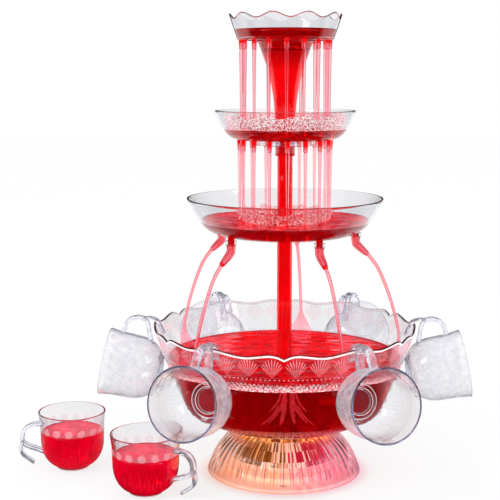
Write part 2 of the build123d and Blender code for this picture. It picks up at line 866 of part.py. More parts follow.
bend_turn = pi / 2 - tail_turn
root_x = cup_foot_radius + cup_wall
loop_start = (root_x, 0, handle_top)
loop_bend = (handle_reach - handle_bend, 0, handle_top)
loop_side = (handle_reach, 0, handle_top - handle_bend)
loop_corner = handle_bend * (1 - sin(pi / 4))
loop_middle = (handle_reach - loop_corner, 0, handle_top - loop_corner)
notch_start, notch_middle, notch_end = [on_handle(place) for place in notch]
tail_start = on_bend(tail_bend, bend_turn)
tail_outer = along_tail(tail_start, tail_length)
tail_root = on_bend(bend_inner, bend_turn)
tail_inner = along_tail(tail_root, tail_length)
tail_middle = ((tail_outer[0] + tail_inner[0]) / 2, 0, (tail_outer[2] + tail_inner[2]) / 2)
throat_top = on_bend(bend_inner, radians(throat_turn))
outline = Line(loop_start, loop_bend)
outline += ThreePointArc(loop_bend, loop_middle, loop_side)
outline += Line(loop_side, notch_start)
outline += ThreePointArc(notch_start, notch_middle, notch_end)
outline += Line(notch_end, on_bend(tail_bend, 0))
outline += ThreePointArc(on_bend(tail_bend, 0), on_bend(tail_bend, bend_turn / 2), tail_start)
outline += Line(tail_start, tail_outer)
outline += ThreePointArc(tail_outer, along_tail(tail_middle, tail_bar / 2), tail_inner)
outline += Line(tail_inner, tail_root)
outline += ThreePointArc(tail_root, on_bend(bend_inner, bend_turn / 2), throat_top)
outline += ThreePointArc(throat_top, on_handle(throat_corner), on_handle(leg_start))
outline += Polyline(on_handle(leg_start), leg_edge(root_x), loop_start)
plate = make_face(outline)

finger_top = handle_top - handle_bar
finger_bend = handle_bend - handle_bar
finger_side = handle_reach - handle_bar
corner = finger_bend * (1 - sin(pi / 4))
finger = Line((root_x, 0, finger_top), (finger_side - finger_bend, 0, finger_top))
finger += ThreePointArc(
    (finger_side - finger_bend, 0, finger_top),
    (finger_side - corner, 0, finger_top - corner),
    (finger_side, 0, finger_top - finger_bend),
)
finger += Line((finger_side, 0, finger_top - finger_bend), (finger_side, 0, handle_top - finger_low))
finger_end = leg_edge(handle_reach + finger_leg, leg_bar)
finger += ThreePointArc((finger_side, 0, handle_top - finger_low), on_handle(finger_corner), finger_end)
finger += Polyline(finger_end, leg_edge(root_x, leg_bar), (root_x, 0, finger_top))
handle = extrude(plate - make_face(finger), handle_width / 2, both=True)
cup = cup_stock + handle - cup_cavity

hang_lean = radians(hang_tilt)
wall_turn = radians(bowl_flare)
crest_radius = bowl_mid(rim_crest)
seat_x, _, seat_z = on_handle(rim_seat)
hang_radius = crest_radius - seat_z * cos(hang_lean) + seat_x * sin(hang_lean)
hang_height = rim_crest - seat_z * sin(hang_lean) - seat_x * cos(hang_lean)
for i, (yaw, swing) in enumerate(zip(hang_yaws, hang_swings)):
    angle = radians(i * lobe)
    outward = (cos(angle), sin(angle))
    place = Plane(
        origin=(hang_radius * outward[0], hang_radius * outward[1], hang_height),
        x_dir=(-sin(hang_lean) * outward[0], -sin(hang_lean) * outward[1], cos(hang_lean)),
        z_dir=(cos(hang_lean) * outward[0], cos(hang_lean) * outward[1], sin(hang_lean)),
    )
    rim_point = (crest_radius * outward[0], crest_radius * outward[1], rim_crest)
    wall_up = Vector(sin(wall_turn) * outward[0], sin(wall_turn) * outward[1], cos(wall_turn))
    wall_out = (cos(wall_turn) * outward[0], cos(wall_turn) * outward[1], -sin(wall_turn))
    hung = (place * cup).rotate(Axis(rim_point, wall_out), swing).rotate(Axis(rim_point, wall_up), yaw)
    save(f"hung_cup_{i + 1}", Pos(wall_up * handle_width / 3 * abs(sin(radians(swing)))) * hung)
for i, (x, y, turn) in enumerate(standing_cups):
    save(f"table_cup_{i + 1}", Pos(x, y, 0) * Rot(0, 0, turn) * cup)
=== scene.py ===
# %% [markdown]
# # A lighted punch fountain in clear plastic
# The fountain is almost nothing but clear plastic and red punch, so its looks come from refraction:
# smooth turned walls, liquid that touches them, and a bright plain studio behind. The CAD parts give
# every size and place. This script loads them as a fixed frame, dresses the clear ones with smooth
# surfaces worked out with numpy, pours the punch, and lights the set.

import bpy
import numpy as np
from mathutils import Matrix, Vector


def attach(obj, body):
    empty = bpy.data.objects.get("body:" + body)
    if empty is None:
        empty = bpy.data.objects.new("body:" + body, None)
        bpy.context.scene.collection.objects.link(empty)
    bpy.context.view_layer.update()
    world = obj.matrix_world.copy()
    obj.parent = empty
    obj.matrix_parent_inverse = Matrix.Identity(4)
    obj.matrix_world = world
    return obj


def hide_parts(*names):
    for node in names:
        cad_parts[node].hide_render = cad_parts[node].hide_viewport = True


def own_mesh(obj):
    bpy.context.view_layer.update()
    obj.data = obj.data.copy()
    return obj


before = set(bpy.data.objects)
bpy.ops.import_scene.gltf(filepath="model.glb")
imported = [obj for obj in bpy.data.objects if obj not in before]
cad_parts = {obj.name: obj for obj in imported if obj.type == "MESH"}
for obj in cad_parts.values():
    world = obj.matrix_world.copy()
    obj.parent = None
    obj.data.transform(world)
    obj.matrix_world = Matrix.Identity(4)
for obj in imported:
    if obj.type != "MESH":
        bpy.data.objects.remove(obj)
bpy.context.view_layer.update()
MM = 0.001

# %% [markdown]
# ## Profiles and grids
# Nearly every piece is turned about an axis, so it is a profile of (radius, height) points carried
# round. Curved runs are cubic splines through a few points of the real profile. Moulded plastic has
# no knife edges, so each corner is eased by a small curve with a support point on either side, which
# keeps the smooth shading flat right up to the corner.


# %% Splines and eased corners
def smooth_line(points, count):
    """Natural cubic spline through the points, spaced by chord length, its second slopes from one solve."""
    p = np.asarray(points, float)
    t = np.concatenate([[0], np.cumsum(np.hypot(*np.diff(p, axis=0).T))])
    h = np.diff(t)
    inner = np.arange(1, len(t) - 1)
    system = np.eye(len(t))
    system[inner, inner - 1] = h[:-1]
    system[inner, inner] = 2 * (h[:-1] + h[1:])
    system[inner, inner + 1] = h[1:]
    right = np.zeros_like(p)
    right[1:-1] = 6 * np.diff(np.diff(p, axis=0) / h[:, None], axis=0)
    bend = np.linalg.solve(system, right)
    s = np.linspace(0, t[-1], count)
    k = np.clip(np.searchsorted(t, s, side="right") - 1, 0, len(h) - 1)
    a = ((t[k + 1] - s) / h[k])[:, None]
    b = 1 - a
    swell = ((a**3 - a) * bend[k] + (b**3 - b) * bend[k + 1]) * (h[k] ** 2)[:, None] / 6
    return a * p[k] + b * p[k + 1] + swell


def eased(points, radius, closed=False, steps=4):
    """Each corner sharper than 20 degrees becomes a quadratic curve from one side to the other, with a
    support point twice as far out on both sides. Other points stay."""
    p = np.asarray(points, float)
    before, after = np.roll(p, 1, 0) - p, np.roll(p, -1, 0) - p
    length_b, length_a = np.hypot(*before.T), np.hypot(*after.T)
    before = before / np.maximum(length_b, 1e-9)[:, None]
    after = after / np.maximum(length_a, 1e-9)[:, None]
    turn = np.pi - np.arccos(np.clip((before * after).sum(1), -1, 1))
    corner = turn > np.radians(20)
    if not closed:
        corner[[0, -1]] = False
    reach = np.minimum(radius * np.tan(turn / 2), 0.4 * np.minimum(length_a, length_b))
    cut = np.where(corner, reach, 0)
    s = np.linspace(0, 1, steps + 1)[None, :, None]
    start = p + before * cut[:, None]
    end = p + after * cut[:, None]
    curve = (1 - s) ** 2 * start[:, None] + 2 * s * (1 - s) * p[:, None] + s**2 * end[:, None]
    far_b = np.where(corner, np.minimum(2 * cut, 0.48 * length_b), 0)
    far_a = np.where(corner, np.minimum(2 * cut, 0.48 * length_a), 0)
    first, last = p + before * far_b[:, None], p + after * far_a[:, None]
    run = np.concatenate([first[:, None], curve, last[:, None]], axis=1).reshape(-1, 2)
    keep = np.hypot(*np.diff(run, axis=0, prepend=run[:1] + 1).T) > 1e-6
    if closed:
        keep[0] = np.hypot(*(run[0] - run[-1])) > 1e-6
    return run[keep]


def inset(points, wall):
    """The open profile moved inward by one wall thickness, along the normal between its neighbours."""
    p = np.asarray(points, float)
    last = len(p) - 1
    i = np.arange(len(p))
    run = p[np.minimum(i + 1, last)] - p[np.maximum(i - 1, 0)]
    run = run / np.hypot(*run.T)[:, None]
    return p + wall * np.stack([-run[:, 1], run[:, 0]], axis=1)


# %% Grids into meshes
def turns(columns):
    """Angles of evenly spaced columns round a full turn."""
    return np.arange(columns) * 2 * np.pi / columns


def spun(r, z, columns):
    """Grid of rows by columns: radius and height, each per row or per row and column, turned about Z."""
    a = turns(columns)[None, :]
    r = np.asarray(r, float).reshape(len(r), -1) * np.ones_like(a)
    z = np.asarray(z, float).reshape(len(z), -1) * np.ones_like(a)
    return np.stack([r * np.cos(a), r * np.sin(a), z], axis=2)


def skin(grid, loop):
    """Vertices and faces over a grid whose columns close on themselves. Rows close too if loop is set, and
    otherwise the first and last rows are single points. Faces are turned so that the volume is positive."""
    rows, cols = grid.shape[:2]
    j = np.arange(cols)
    nxt = (j + 1) % cols
    if loop:
        verts = grid.reshape(-1, 3)
        i = np.arange(rows)[:, None] * cols
        k = ((np.arange(rows) + 1) % rows)[:, None] * cols
        tris = np.zeros((0, 3), int)
    else:
        verts = np.concatenate([grid[:1, 0], grid[1:-1].reshape(-1, 3), grid[-1:, 0]])
        i = 1 + np.arange(rows - 3)[:, None] * cols
        k = i + cols
        top = 1 + (rows - 3) * cols
        first = np.stack([0 * j, 1 + nxt, 1 + j], axis=1)
        final = np.stack([0 * j + len(verts) - 1, top + j, top + nxt], axis=1)
        tris = np.concatenate([first, final])
    quads = np.stack([i + j, i + nxt, k + nxt, k + j], axis=2).reshape(-1, 4)
    split = np.concatenate([quads[:, [0, 1, 2]], quads[:, [0, 2, 3]], tris])
    a, b, c = (verts[split[:, n]] for n in range(3))
    if (a * np.cross(b, c)).sum() < 0:
        quads, tris = quads[:, ::-1], tris[:, ::-1]
    return verts, quads.tolist() + tris.tolist()


def lathe(profile, columns, loop=False):
    """A profile of (radius, height) points turned about Z into a closed skin."""
    p = np.asarray(profile, float)
    return skin(spun(p[:, 0], p[:, 1], columns), loop)


def ring(outline, ease, columns):
    """A closed outline with eased corners turned about Z."""
    return lathe(eased(outline, ease, True), columns, True)


def tube(line, normal_half, side_half, columns, power=1.0):
    """A line of (x, z) points in the plane y = 0 carrying an oval: half widths along its normal in that
    plane and along y. The oval is cosine and sine, each raised to a power with its sign kept, so that a
    power under 1 makes it squarer."""
    x, z = np.asarray(line, float).T
    p = np.stack([x, 0 * x, z], axis=1)
    along = np.gradient(p, axis=0)
    along = along / np.linalg.norm(along, axis=1)[:, None]
    side = np.array([[0.0, 1.0, 0.0]]) * np.ones_like(p)
    normal = np.cross(side, along)
    a = turns(columns)[None, :, None]
    c, s = (np.abs(v) ** power * np.sign(v) for v in (np.cos(a), np.sin(a)))
    rows = np.ones((len(p), 1, 1))
    across, wide = (np.reshape(half, (-1, 1, 1)) * rows for half in (normal_half, side_half))
    return p[:, None] + across * c * normal[:, None] + wide * s * side[:, None]


def capped(grid):
    """The grid with one point before its first row and one after its last, so that the ends close."""
    ends = [np.repeat(row.mean(0)[None, None], grid.shape[1], 1) for row in (grid[0], grid[-1])]
    return np.concatenate([ends[0], grid, ends[1]])


# %% Places and pieces
def placed(part, matrix):
    """A skin moved by a 3 by 4 matrix: three direction columns and an origin column."""
    m = np.asarray(matrix, float)
    return part[0] @ m[:, :3].T + m[:, 3], part[1]


def turned_to(angle, x=0.0, y=0.0):
    """Matrix that turns about Z by an angle in radians and then moves."""
    c, s = np.cos(angle), np.sin(angle)
    return [[c, -s, 0, x], [s, c, 0, y], [0, 0, 1, 0]]


def on_circle(angle, radius):
    """Matrix of a place on a circle about Z, turned to face out."""
    return turned_to(angle, radius * np.cos(angle), radius * np.sin(angle))


def piece(name, parts, look, body, stands_for=()):
    """One object from several skins in millimetres: smooth, at the origin, riding on a CAD body."""
    verts = np.concatenate([v for v, _ in parts]) * MM
    starts = np.cumsum([0] + [len(v) for v, _ in parts])
    faces = [[n + start for n in f] for (_, fs), start in zip(parts, starts) for f in fs]
    mesh = bpy.data.meshes.new(name)
    mesh.from_pydata(verts.tolist(), [], faces)
    mesh.polygons.foreach_set("use_smooth", np.ones(len(faces), bool))
    mesh.materials.append(look)
    obj = bpy.data.objects.new(name, mesh)
    bpy.context.scene.collection.objects.link(obj)
    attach(obj, body)
    if stands_for:
        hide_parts(*stands_for)
    print(f"{name}: {len(verts)} points, {len(faces)} faces, on {body}")
    return obj


# %% [markdown]
# ## Finishes
# Clear polystyrene is glass-like, with an IOR a little over 1.5, and its long paths along a wall look
# faintly grey and lilac, so the tint sits inside it as absorption. Punch is dyed water: it lets red
# through over a long way and takes green and blue within millimetres, so one recipe gives pink
# streams, a bright column and a dark bowl. Pulp and bubbles scatter a part of the light back at the
# surface, and a painted glow, stronger on faces that look up, stands for light from inside.


# %% Colour and node helpers
def linear(code):
    """sRGB hex to linear RGBA."""
    c = np.array([int(code[i : i + 2], 16) for i in (1, 3, 5)]) / 255
    c = np.where(c <= 0.04045, c / 12.92, ((c + 0.055) / 1.055) ** 2.4)
    return (*c.tolist(), 1.0)


def even_stops(codes, low=0.0, high=1.0):
    """Ramp stops (position, colour) at even steps, one for each sRGB code."""
    return list(zip(np.linspace(low, high, len(codes)).tolist(), map(linear, codes)))


def add(tree, kind, inputs=(), stops=(), **settings):
    """Adds a shader node with its settings, its ramp stops if it has any, and its inputs: a dictionary by
    socket, or a list for the first sockets. A node given as an input stands for its first output."""
    made = tree.nodes.new("ShaderNode" + kind)
    for key, value in settings.items():
        setattr(made, key, value)
    for socket, value in inputs.items() if isinstance(inputs, dict) else enumerate(inputs):
        if isinstance(value, bpy.types.Node):
            value = value.outputs[0]
        if isinstance(value, bpy.types.NodeSocket):
            tree.links.new(value, made.inputs[socket])
        else:
            made.inputs[socket].default_value = value
    if stops:
        marks = made.color_ramp.elements
        for n, (at, colour) in ((0, stops[0]), (1, stops[-1])):
            marks[n].position, marks[n].color = at, colour
        for at, colour in stops[1:-1]:
            marks.new(at).color = colour
    return made


def finish(name):
    """A node material, its tree, and the place of a point in metres, which drives everything in it."""
    made = bpy.data.materials.new(name)
    made.use_nodes = True
    made.node_tree.nodes.clear()
    print("finish:", name)
    return made, made.node_tree, add(made.node_tree, "TexCoord").outputs["Object"]


def cleared(name, ior, roughness, tint, density, ripple_mm, ripple_height_mm, cloud_and_painted_glow=None):
    """See-through material: a clear surface with faint mould or liquid ripples, and tint as absorption
    inside. Its last argument, for a cloudy liquid, is a colour, two shares of what scatters, at faces in
    general and at those that look up, two strengths of a painted glow there, how far that painted glow
    varies from streak to streak, and two heights with the share of the painted glow that is left at each."""
    made, tree, place = finish(name)
    grain = add(tree, "TexNoise", {"Vector": place, "Scale": 1 / (ripple_mm * MM), "Detail": 2.0})
    relief = add(tree, "Bump", {"Distance": ripple_height_mm * MM, "Strength": 1.0, "Height": grain})
    inputs = {"Base Color": linear("#F8F8FA"), "Transmission Weight": 1.0}
    inputs |= {"IOR": ior, "Roughness": roughness, "Normal": relief}
    if cloud_and_painted_glow:
        colour, side_share, up_share, side_glow, up_glow, streaks, fade = cloud_and_painted_glow
        face = add(tree, "NewGeometry").outputs
        up = [add(tree, "SeparateXYZ", [face["Normal"]]).outputs["Z"], 0.8, 0.98]
        share = add(tree, "MapRange", [*up, 1 - side_share, 1 - up_share])
        # Painted glow: one strength on faces in general and another on faces that look up.
        glow = add(tree, "MapRange", [*up, side_glow, up_glow])
        # The painted glow shows only on faces seen from outside, varies from streak to streak, and is
        # scaled between two heights.
        outer = add(tree, "Math", [1.0, face["Backfacing"]], operation="SUBTRACT")
        streak = add(tree, "MapRange", [grain, 0.38, 0.6, *streaks])
        level = add(tree, "SeparateXYZ", [place]).outputs["Z"]
        lamps = add(tree, "MapRange", [level, *fade])
        for factor in (outer, streak, lamps):
            glow = add(tree, "Math", [glow, factor], operation="MULTIPLY")
        inputs |= {"Base Color": linear(colour), "Transmission Weight": share}
        inputs |= {"Emission Color": linear(colour), "Emission Strength": glow}
    surface = add(tree, "BsdfPrincipled", inputs)
    inside = add(tree, "VolumeAbsorption", {"Color": tint, "Density": density})
    add(tree, "OutputMaterial", {"Surface": surface, "Volume": inside})
    return made


# %% Clear plastic
plastic_ior, punch_ior = 1.55, 1.34
lilac = linear("#9494BE")
# Injection-moulded polystyrene: hard gloss, faint waves about 20 mm apart, grey-lilac along its length.
plastic = cleared("clear_moulded_polystyrene", plastic_ior, 0.0, linear("#9090A8"), 14.0, 20, 0.04)
# Nozzles and spouts run with punch inside and out, so their plastic looks pink.
rinsed_plastic = cleared("polystyrene_wet_with_punch", 1.5, 0.0, (0.98, 0.05, 0.12, 1.0), 150.0, 8, 0.05)
# The cups are the same plastic from a worn, finely textured mould, so they look frosty from a distance.
cup_plastic = cleared("textured_polystyrene", plastic_ior, 0.06, lilac, 8.0, 7, 0.2)
# Their thick handles are a little cloudy and carry a faint painted glow, in streaks.
handle_cloud_and_painted_glow = ("#F4F4FA", 0.1, 0.1, 0.07, 0.07, (0.1, 2.2), (0.0, 1.0, 1.0, 1.0))
handle_plastic = cleared("thick_clouded_polystyrene_painted_glow", plastic_ior, 0.04, lilac, 8.0, 7, 0.2, handle_cloud_and_painted_glow)
# The two on the table were rinsed, and are clearer.
rinsed_cup = cleared("clear_rinsed_polystyrene", plastic_ior, 0.02, lilac, 8.0, 9, 0.1)
# Plastic under the punch bends light only by the ratio of the two indices.
wet_plastic = cleared("polystyrene_under_punch", plastic_ior / punch_ior, 0.0, lilac, 8.0, 20, 0.04)

# %% Punch
# Fruit punch: dyed sugared water with an IOR near that of water. A painted glow brightens the faces that
# look up, and is three and a half times as strong low in the bowl, for the lamps under it.
bowl_cloud_and_painted_glow = ("#FF0818", 0.05, 0.4, 0.05, 0.32, (0.45, 1.4), (0.075, 0.125, 3.5, 1.0))
punch = cleared("red_fruit_punch", punch_ior, 0.0, (0.991, 0.0, 0.1, 1.0), 500.0, 14, 0.25, bowl_cloud_and_painted_glow)
# In the cups it stands against pale plastic and keeps a cooler red. Its painted glow is brighter on the top
# and half as strong near the cup's floor, a painted shade there.
cup_cloud_and_painted_glow = ("#FF0640", 0.08, 0.2, 0.22, 0.4, (0.6, 1.4), (0.004, 0.035, 0.5, 1.0))
cup_tint = (0.995, 0.0, 0.92, 1.0)
cup_punch = cleared("fruit_punch_in_cups", punch_ior, 0.0, cup_tint, 330.0, 30, 0.1, cup_cloud_and_painted_glow)
# Punch that rushes up the riser carries fine bubbles and scatters most of the light. A painted glow
# brightens it and falls to a fifth near the top of the cone, a painted shade there.
rush_cloud_and_painted_glow = ("#FF0610", 0.5, 0.5, 0.45, 0.45, (0.8, 1.2), (0.56, 0.584, 1.0, 0.2))
rush_tint = (0.9865, 0.0, 0.1, 1.0)
rushing_punch = cleared("rushing_punch", punch_ior, 0.0, rush_tint, 330.0, 30, 0.1, rush_cloud_and_painted_glow)
# Falling punch is full of air, so it looks paler than punch at rest. The fuller arcs keep more colour.
thin_punch = cleared("falling_punch", punch_ior, 0.0, (0.985, 0.0, 0.1, 1.0), 430.0, 9, 0.1)
arc_punch = cleared("pouring_punch", punch_ior, 0.0, (0.99, 0.0, 0.1, 1.0), 520.0, 9, 0.1)
# Both carry a faint painted pink glow.
for liquid in (thin_punch, arc_punch):
    surface = liquid.node_tree.nodes["Principled BSDF"]
    surface.inputs["Emission Color"].default_value = linear("#FF2838")
    surface.inputs["Emission Strength"].default_value = 0.06


# %% Films: etched relief, haze and froth
def veil(name, colours, cover, speck_mm, contrast, painted_glow_strength):
    """Thin see-through film: a noise of small specks drives its colour ramp and how much it covers. A part
    of its colour is given off again as a painted glow."""
    made, tree, place = finish(name)
    speck = add(tree, "TexNoise", {"Vector": place, "Scale": 1 / (speck_mm * MM), "Detail": 3.0})
    low, high = 0.5 - contrast, 0.5 + contrast
    tones = add(tree, "ValToRGB", [speck], even_stops(colours, low, high))
    share = add(tree, "MapRange", [speck, low, high, *cover])
    inputs = {"Base Color": tones, "Roughness": 0.5, "Specular IOR Level": 0.2, "Alpha": share}
    inputs |= {"Emission Color": tones, "Emission Strength": painted_glow_strength}
    add(tree, "OutputMaterial", [add(tree, "BsdfPrincipled", inputs)])
    return made


def masked(film, mask):
    """Multiplies how much a film covers by a mask."""
    tree = film.node_tree
    alpha = tree.nodes["Principled BSDF"].inputs["Alpha"]
    part = add(tree, "Math", [alpha.links[0].from_socket, mask], operation="MULTIPLY")
    tree.links.new(part.outputs["Value"], alpha)


# The raised ornament is finely etched in the mould, so it scatters a part of the light and reads pale.
# Every film here also gives off a part of its colour as a painted glow.
etched = veil("etched_polystyrene_relief", ["#FF98A0", "#FFD8DC"], (0.2, 0.4), 1.5, 0.2, 0.45)
rope = veil("etched_polystyrene_rope", ["#FF98A0", "#FFFFFF"], (0.0, 0.3), 2.0, 0.1, 0.4)
frosted = veil("frosted_polystyrene_medallion", ["#FFD8DE", "#FFFFFF"], (0.08, 0.15), 1.5, 0.2, 0.2)
faint = veil("faint_polystyrene_relief", ["#FF1428", "#FF4450"], (0.06, 0.16), 2.5, 0.2, 0.55)
ruby = veil("polystyrene_relief_over_punch", ["#C00028", "#E81440"], (0.15, 0.3), 2.5, 0.2, 0.4)
pale = veil("pale_polystyrene_relief", ["#FFFFFF", "#FFFFFF"], (0.02, 0.05), 1.5, 0.2, 0.1)
# Painted highlights: white glints on the foot rings, the bowl's edge and its beads, and a painted sheen on
# the top of a filled cup.
glint = veil("painted_glint_on_polystyrene", ["#FFFFFF", "#FFFFFF"], (0.4, 0.7), 6.0, 0.2, 0.25)
sheen = veil("painted_sheen_on_punch", ["#FF98A8", "#FFB8C0"], (0.12, 0.28), 8.0, 0.2, 0.3)
# The dry cups get a pale painted sheen over their walls, uneven from place to place. It shows only where a
# wall faces out.
painted_wall_sheen = veil("painted_wall_sheen_on_polystyrene", ["#E0DEEA", "#FFFFFF"], (0.24, 0.4), 10.0, 0.2, 0.12)
tree = painted_wall_sheen.node_tree
outer = add(tree, "Attribute", attribute_name="outer").outputs["Fac"]
behind = add(tree, "NewGeometry").outputs["Backfacing"]
masked(painted_wall_sheen, add(tree, "Math", [outer, behind], operation="SUBTRACT", use_clamp=True).outputs["Value"])
# Froth is a wall of small bubbles: white specks, partly foam and partly painted glints, pink film and dark
# red gaps.
froth_tones = ["#A00014", "#F03848", "#FFB8BC", "#FFFFFF", "#FFFFFF"]
froth = veil("punch_froth", froth_tones, (0.3, 0.85), 2.1, 0.07, 0.32)
# Where the streams land in the large tier they throw up a thin skirt of punch with bubbles in it.
skirt_tones = ["#900010", "#E01828", "#FF8C94", "#FFF0F0"]
skirt = veil("splashing_punch", skirt_tones, (0.15, 0.65), 2.5, 0.06, 0.25)

# %% [markdown]
# ## Punch bowl
# The bowl is turned, with a flared wall whose rim rises and dips in six lobes. The lower part is one
# profile for every angle. Above the shoulder each column of the grid is stretched to the rim height
# at its own angle, so the wave runs round without a seam.

# %% Bowl wall
bowl_wall = 3.0
wall_lean = np.radians(19.0)
flare = np.tan(wall_lean)
half_wall = bowl_wall / 2 / np.cos(wall_lean)
shoulder = 150.0
lobe_top = 211.5
bowl_columns = 480


def bowl_mid(z):
    """Radius of the middle of the flared wall at a height: a straight line through (180.5, 209.5)."""
    return 180.5 - (209.5 - np.asarray(z, float)) * flare


bowl_body = [(64.0, 68.0), (98.0, 74.5), (124.0, 87.0), (143.0, 107.0), (154.5, 130.0)]
bowl_outer = smooth_line(bowl_body + [(bowl_mid(shoulder) + half_wall, shoulder)], 34)
inner_knots = inset(bowl_body, bowl_wall).tolist() + [(bowl_mid(shoulder) - half_wall, shoulder)]
bowl_inner = smooth_line(inner_knots, 34)


def rim_height(angle):
    """Height of the bowl rim by angle: one spline per lobe, with a sharp notch where two lobes meet."""
    half_lobe = [(0, lobe_top), (14.5, 206.3), (25, 210.0), (30, 204.3)]
    knots = [(-turn, z) for turn, z in half_lobe[:0:-1]] + half_lobe
    line = smooth_line(knots, 400)
    local = (np.degrees(angle) + 30) % 60 - 30
    return np.interp(local, line[:, 0], line[:, 1])


def waved_wall(low, top, rows, mid, half, cap):
    """Rows of a wall that climbs outside to a waved edge, goes over it in a half round and comes down."""
    t = np.linspace(0, 1, rows + 1)[1:-1, None]
    climb = low + (top - cap - low)[None] * t
    phi = np.linspace(0, np.pi, 9)[:, None]
    over = (top - cap)[None] + cap * np.sin(phi)
    r = np.concatenate([mid(climb) + half, mid(over) + half * np.cos(phi), mid(climb[::-1]) - half])
    return r, np.concatenate([climb, over, climb[::-1]])


def stacked(below, wall, above, columns):
    """Grid of a profile, a wall whose radius and height vary by column, and a second profile, all spun."""
    low, high = (np.repeat(line[:, :, None], columns, 2) for line in (below, above))
    return spun(*(np.concatenate([low[:, n], wall[n], high[:, n]]) for n in range(2)), columns)


crest = rim_height(turns(bowl_columns))
flared = waved_wall(shoulder, crest, 26, bowl_mid, half_wall, bowl_wall / 2)
well_r, well_z = 44, 64
foot = eased([(0, 61), (46.7, 61), (46.7, 66.05), (61, 66.05), *bowl_outer.tolist()], 0.8)
well = eased([*bowl_inner[::-1].tolist(), (49, bowl_inner[0, 1]), (well_r, well_z), (0, well_z)], 0.8)
bowl_grid = stacked(foot, flared, well, bowl_columns)
piece("bowl_glass", [skin(bowl_grid, False)], plastic, "bowl", ["punch_bowl"])

# %% [markdown]
# ## Moulded ornament on the bowl
# A row of shell fans runs round the upper wall, over a row of beads and a rope-like band on an etched
# strip, and six palmettes hang below. Each ray is a slim lens laid on the wall. The lens is worked out
# flat, as a distance along the wall and a distance round it, and then wrapped onto the bowl profile,
# for all rays at once.

# %% Rays on the bowl wall
upper_z = [180.0, 212.0]
wall_run = np.concatenate([bowl_outer, np.stack([bowl_mid(upper_z) + half_wall, upper_z], 1)])


def rays(run, angles, rows, proud, root=(0.2, 0.6, 1, 0.7, 0.2)):
    """Skins of lenses from foot to tip on a wall whose run of (radius, height) points is given. The rows
    hold one value per ray: foot sideways and height, tip sideways and height, a sideways swell at mid
    length, and the half width. Every ray is repeated at each angle. A point's radius is the wall's at its
    height plus the lens's own lift."""
    s = np.linspace(0, 1, 9)[None, None, :, None]
    loop = turns(6)[None, None, None, :]
    a = np.asarray(angles)[:, None, None, None]
    shaped = (np.array(v, float)[None, :, None, None] for v in rows)
    foot_side, foot_z, tip_side, tip_z, bow, half_width = shaped
    side = foot_side + (tip_side - foot_side) * s + bow * np.sin(np.pi * s)
    z = foot_z + (tip_z - foot_z) * s
    swell = np.interp(s, [0, 0.1, 0.5, 0.9, 1], root)
    wide = side + half_width * swell * np.cos(loop)
    lift = 0.05 + proud * (1 + np.sin(loop)) * swell
    wall = np.interp(z, run[:, 1], run[:, 0])
    angle = a + wide / wall
    r = wall + lift
    grid = np.stack(np.broadcast_arrays(r * np.cos(angle), r * np.sin(angle), z + 0 * loop), axis=-1)
    return [skin(capped(g), False) for g in grid.reshape(-1, *grid.shape[2:])]


# %% Fans, rope and palmettes
fan_foot = 177.5
fan_turn = np.radians(5 + 10 * np.arange(36))
ray_angle = np.radians(np.linspace(-40, 40, 9))
fan_length = 25.5 - 5 * (ray_angle / ray_angle[-1]) ** 2
even = np.ones(9)
fan_rows = [0.8 * np.sin(ray_angle), fan_foot * even, fan_length * np.sin(ray_angle)]
fan_rows += [fan_foot + fan_length * np.cos(ray_angle), 0 * even, 0.6 * even]
fans = rays(wall_run, fan_turn, fan_rows, 0.3, (0.05, 0.1, 0.5, 1.0, 0.6))
piece("bowl_fans", fans, etched, "bowl")
strand_turn = np.radians(np.arange(0, 360, 2.0))
strip_low, strip_high, rope_high = 156.5, 166.0, 168.0
strand_rows = [[-3, 3], [strip_low] * 2, [3, -3], [rope_high] * 2, [0, 0], [0.9, 0.9]]
piece("bowl_rope_band", rays(wall_run, strand_turn, strand_rows, 0.25), rope, "bowl")
palm_turn = np.radians(32 + 60 * np.arange(6))
one_side = [(3.0, 159, 9.0, 108, -1.0, 3.2), (6.0, 159, 26.0, 109, -6.0, 2.4)]
one_side += [(9.0, 158, 24.0, 128, -3.0, 2.0), (12.0, 140, 35.0, 106, -4.0, 2.0)]
palm = np.concatenate([np.array(one_side), np.array(one_side) * [-1, 1, -1, 1, -1, 1]])
piece("bowl_palmettes", rays(wall_run, palm_turn, palm.T, 0.3), faint, "bowl")

# %% Painted highlight under the rim
# The rounded rim gets a painted highlight: a bright line along the top of the wall, a few millimetres under
# its edge.
edge_z = np.concatenate([crest[None] - drop for drop in (4.4, 3.0, 1.7)])
edge_r = bowl_mid(edge_z) + half_wall
edge_line = [np.concatenate([edge_r + 0.05, edge_r[::-1] + 0.12]), np.concatenate([edge_z, edge_z[::-1]])]
piece("bowl_rim_light", [skin(spun(*edge_line, bowl_columns), True)], glint, "bowl")

# %% Beads under the fans
# A row of small beads runs between the fans and the rope, each with a painted white glint.
bead_rows = [[0], [173.4], [0], [174.6], [0], [0.6]]
beads = rays(wall_run, strand_turn, bead_rows, 0.25, (0.6, 0.9, 1, 0.9, 0.6))
piece("bowl_beads", beads, glint, "bowl")

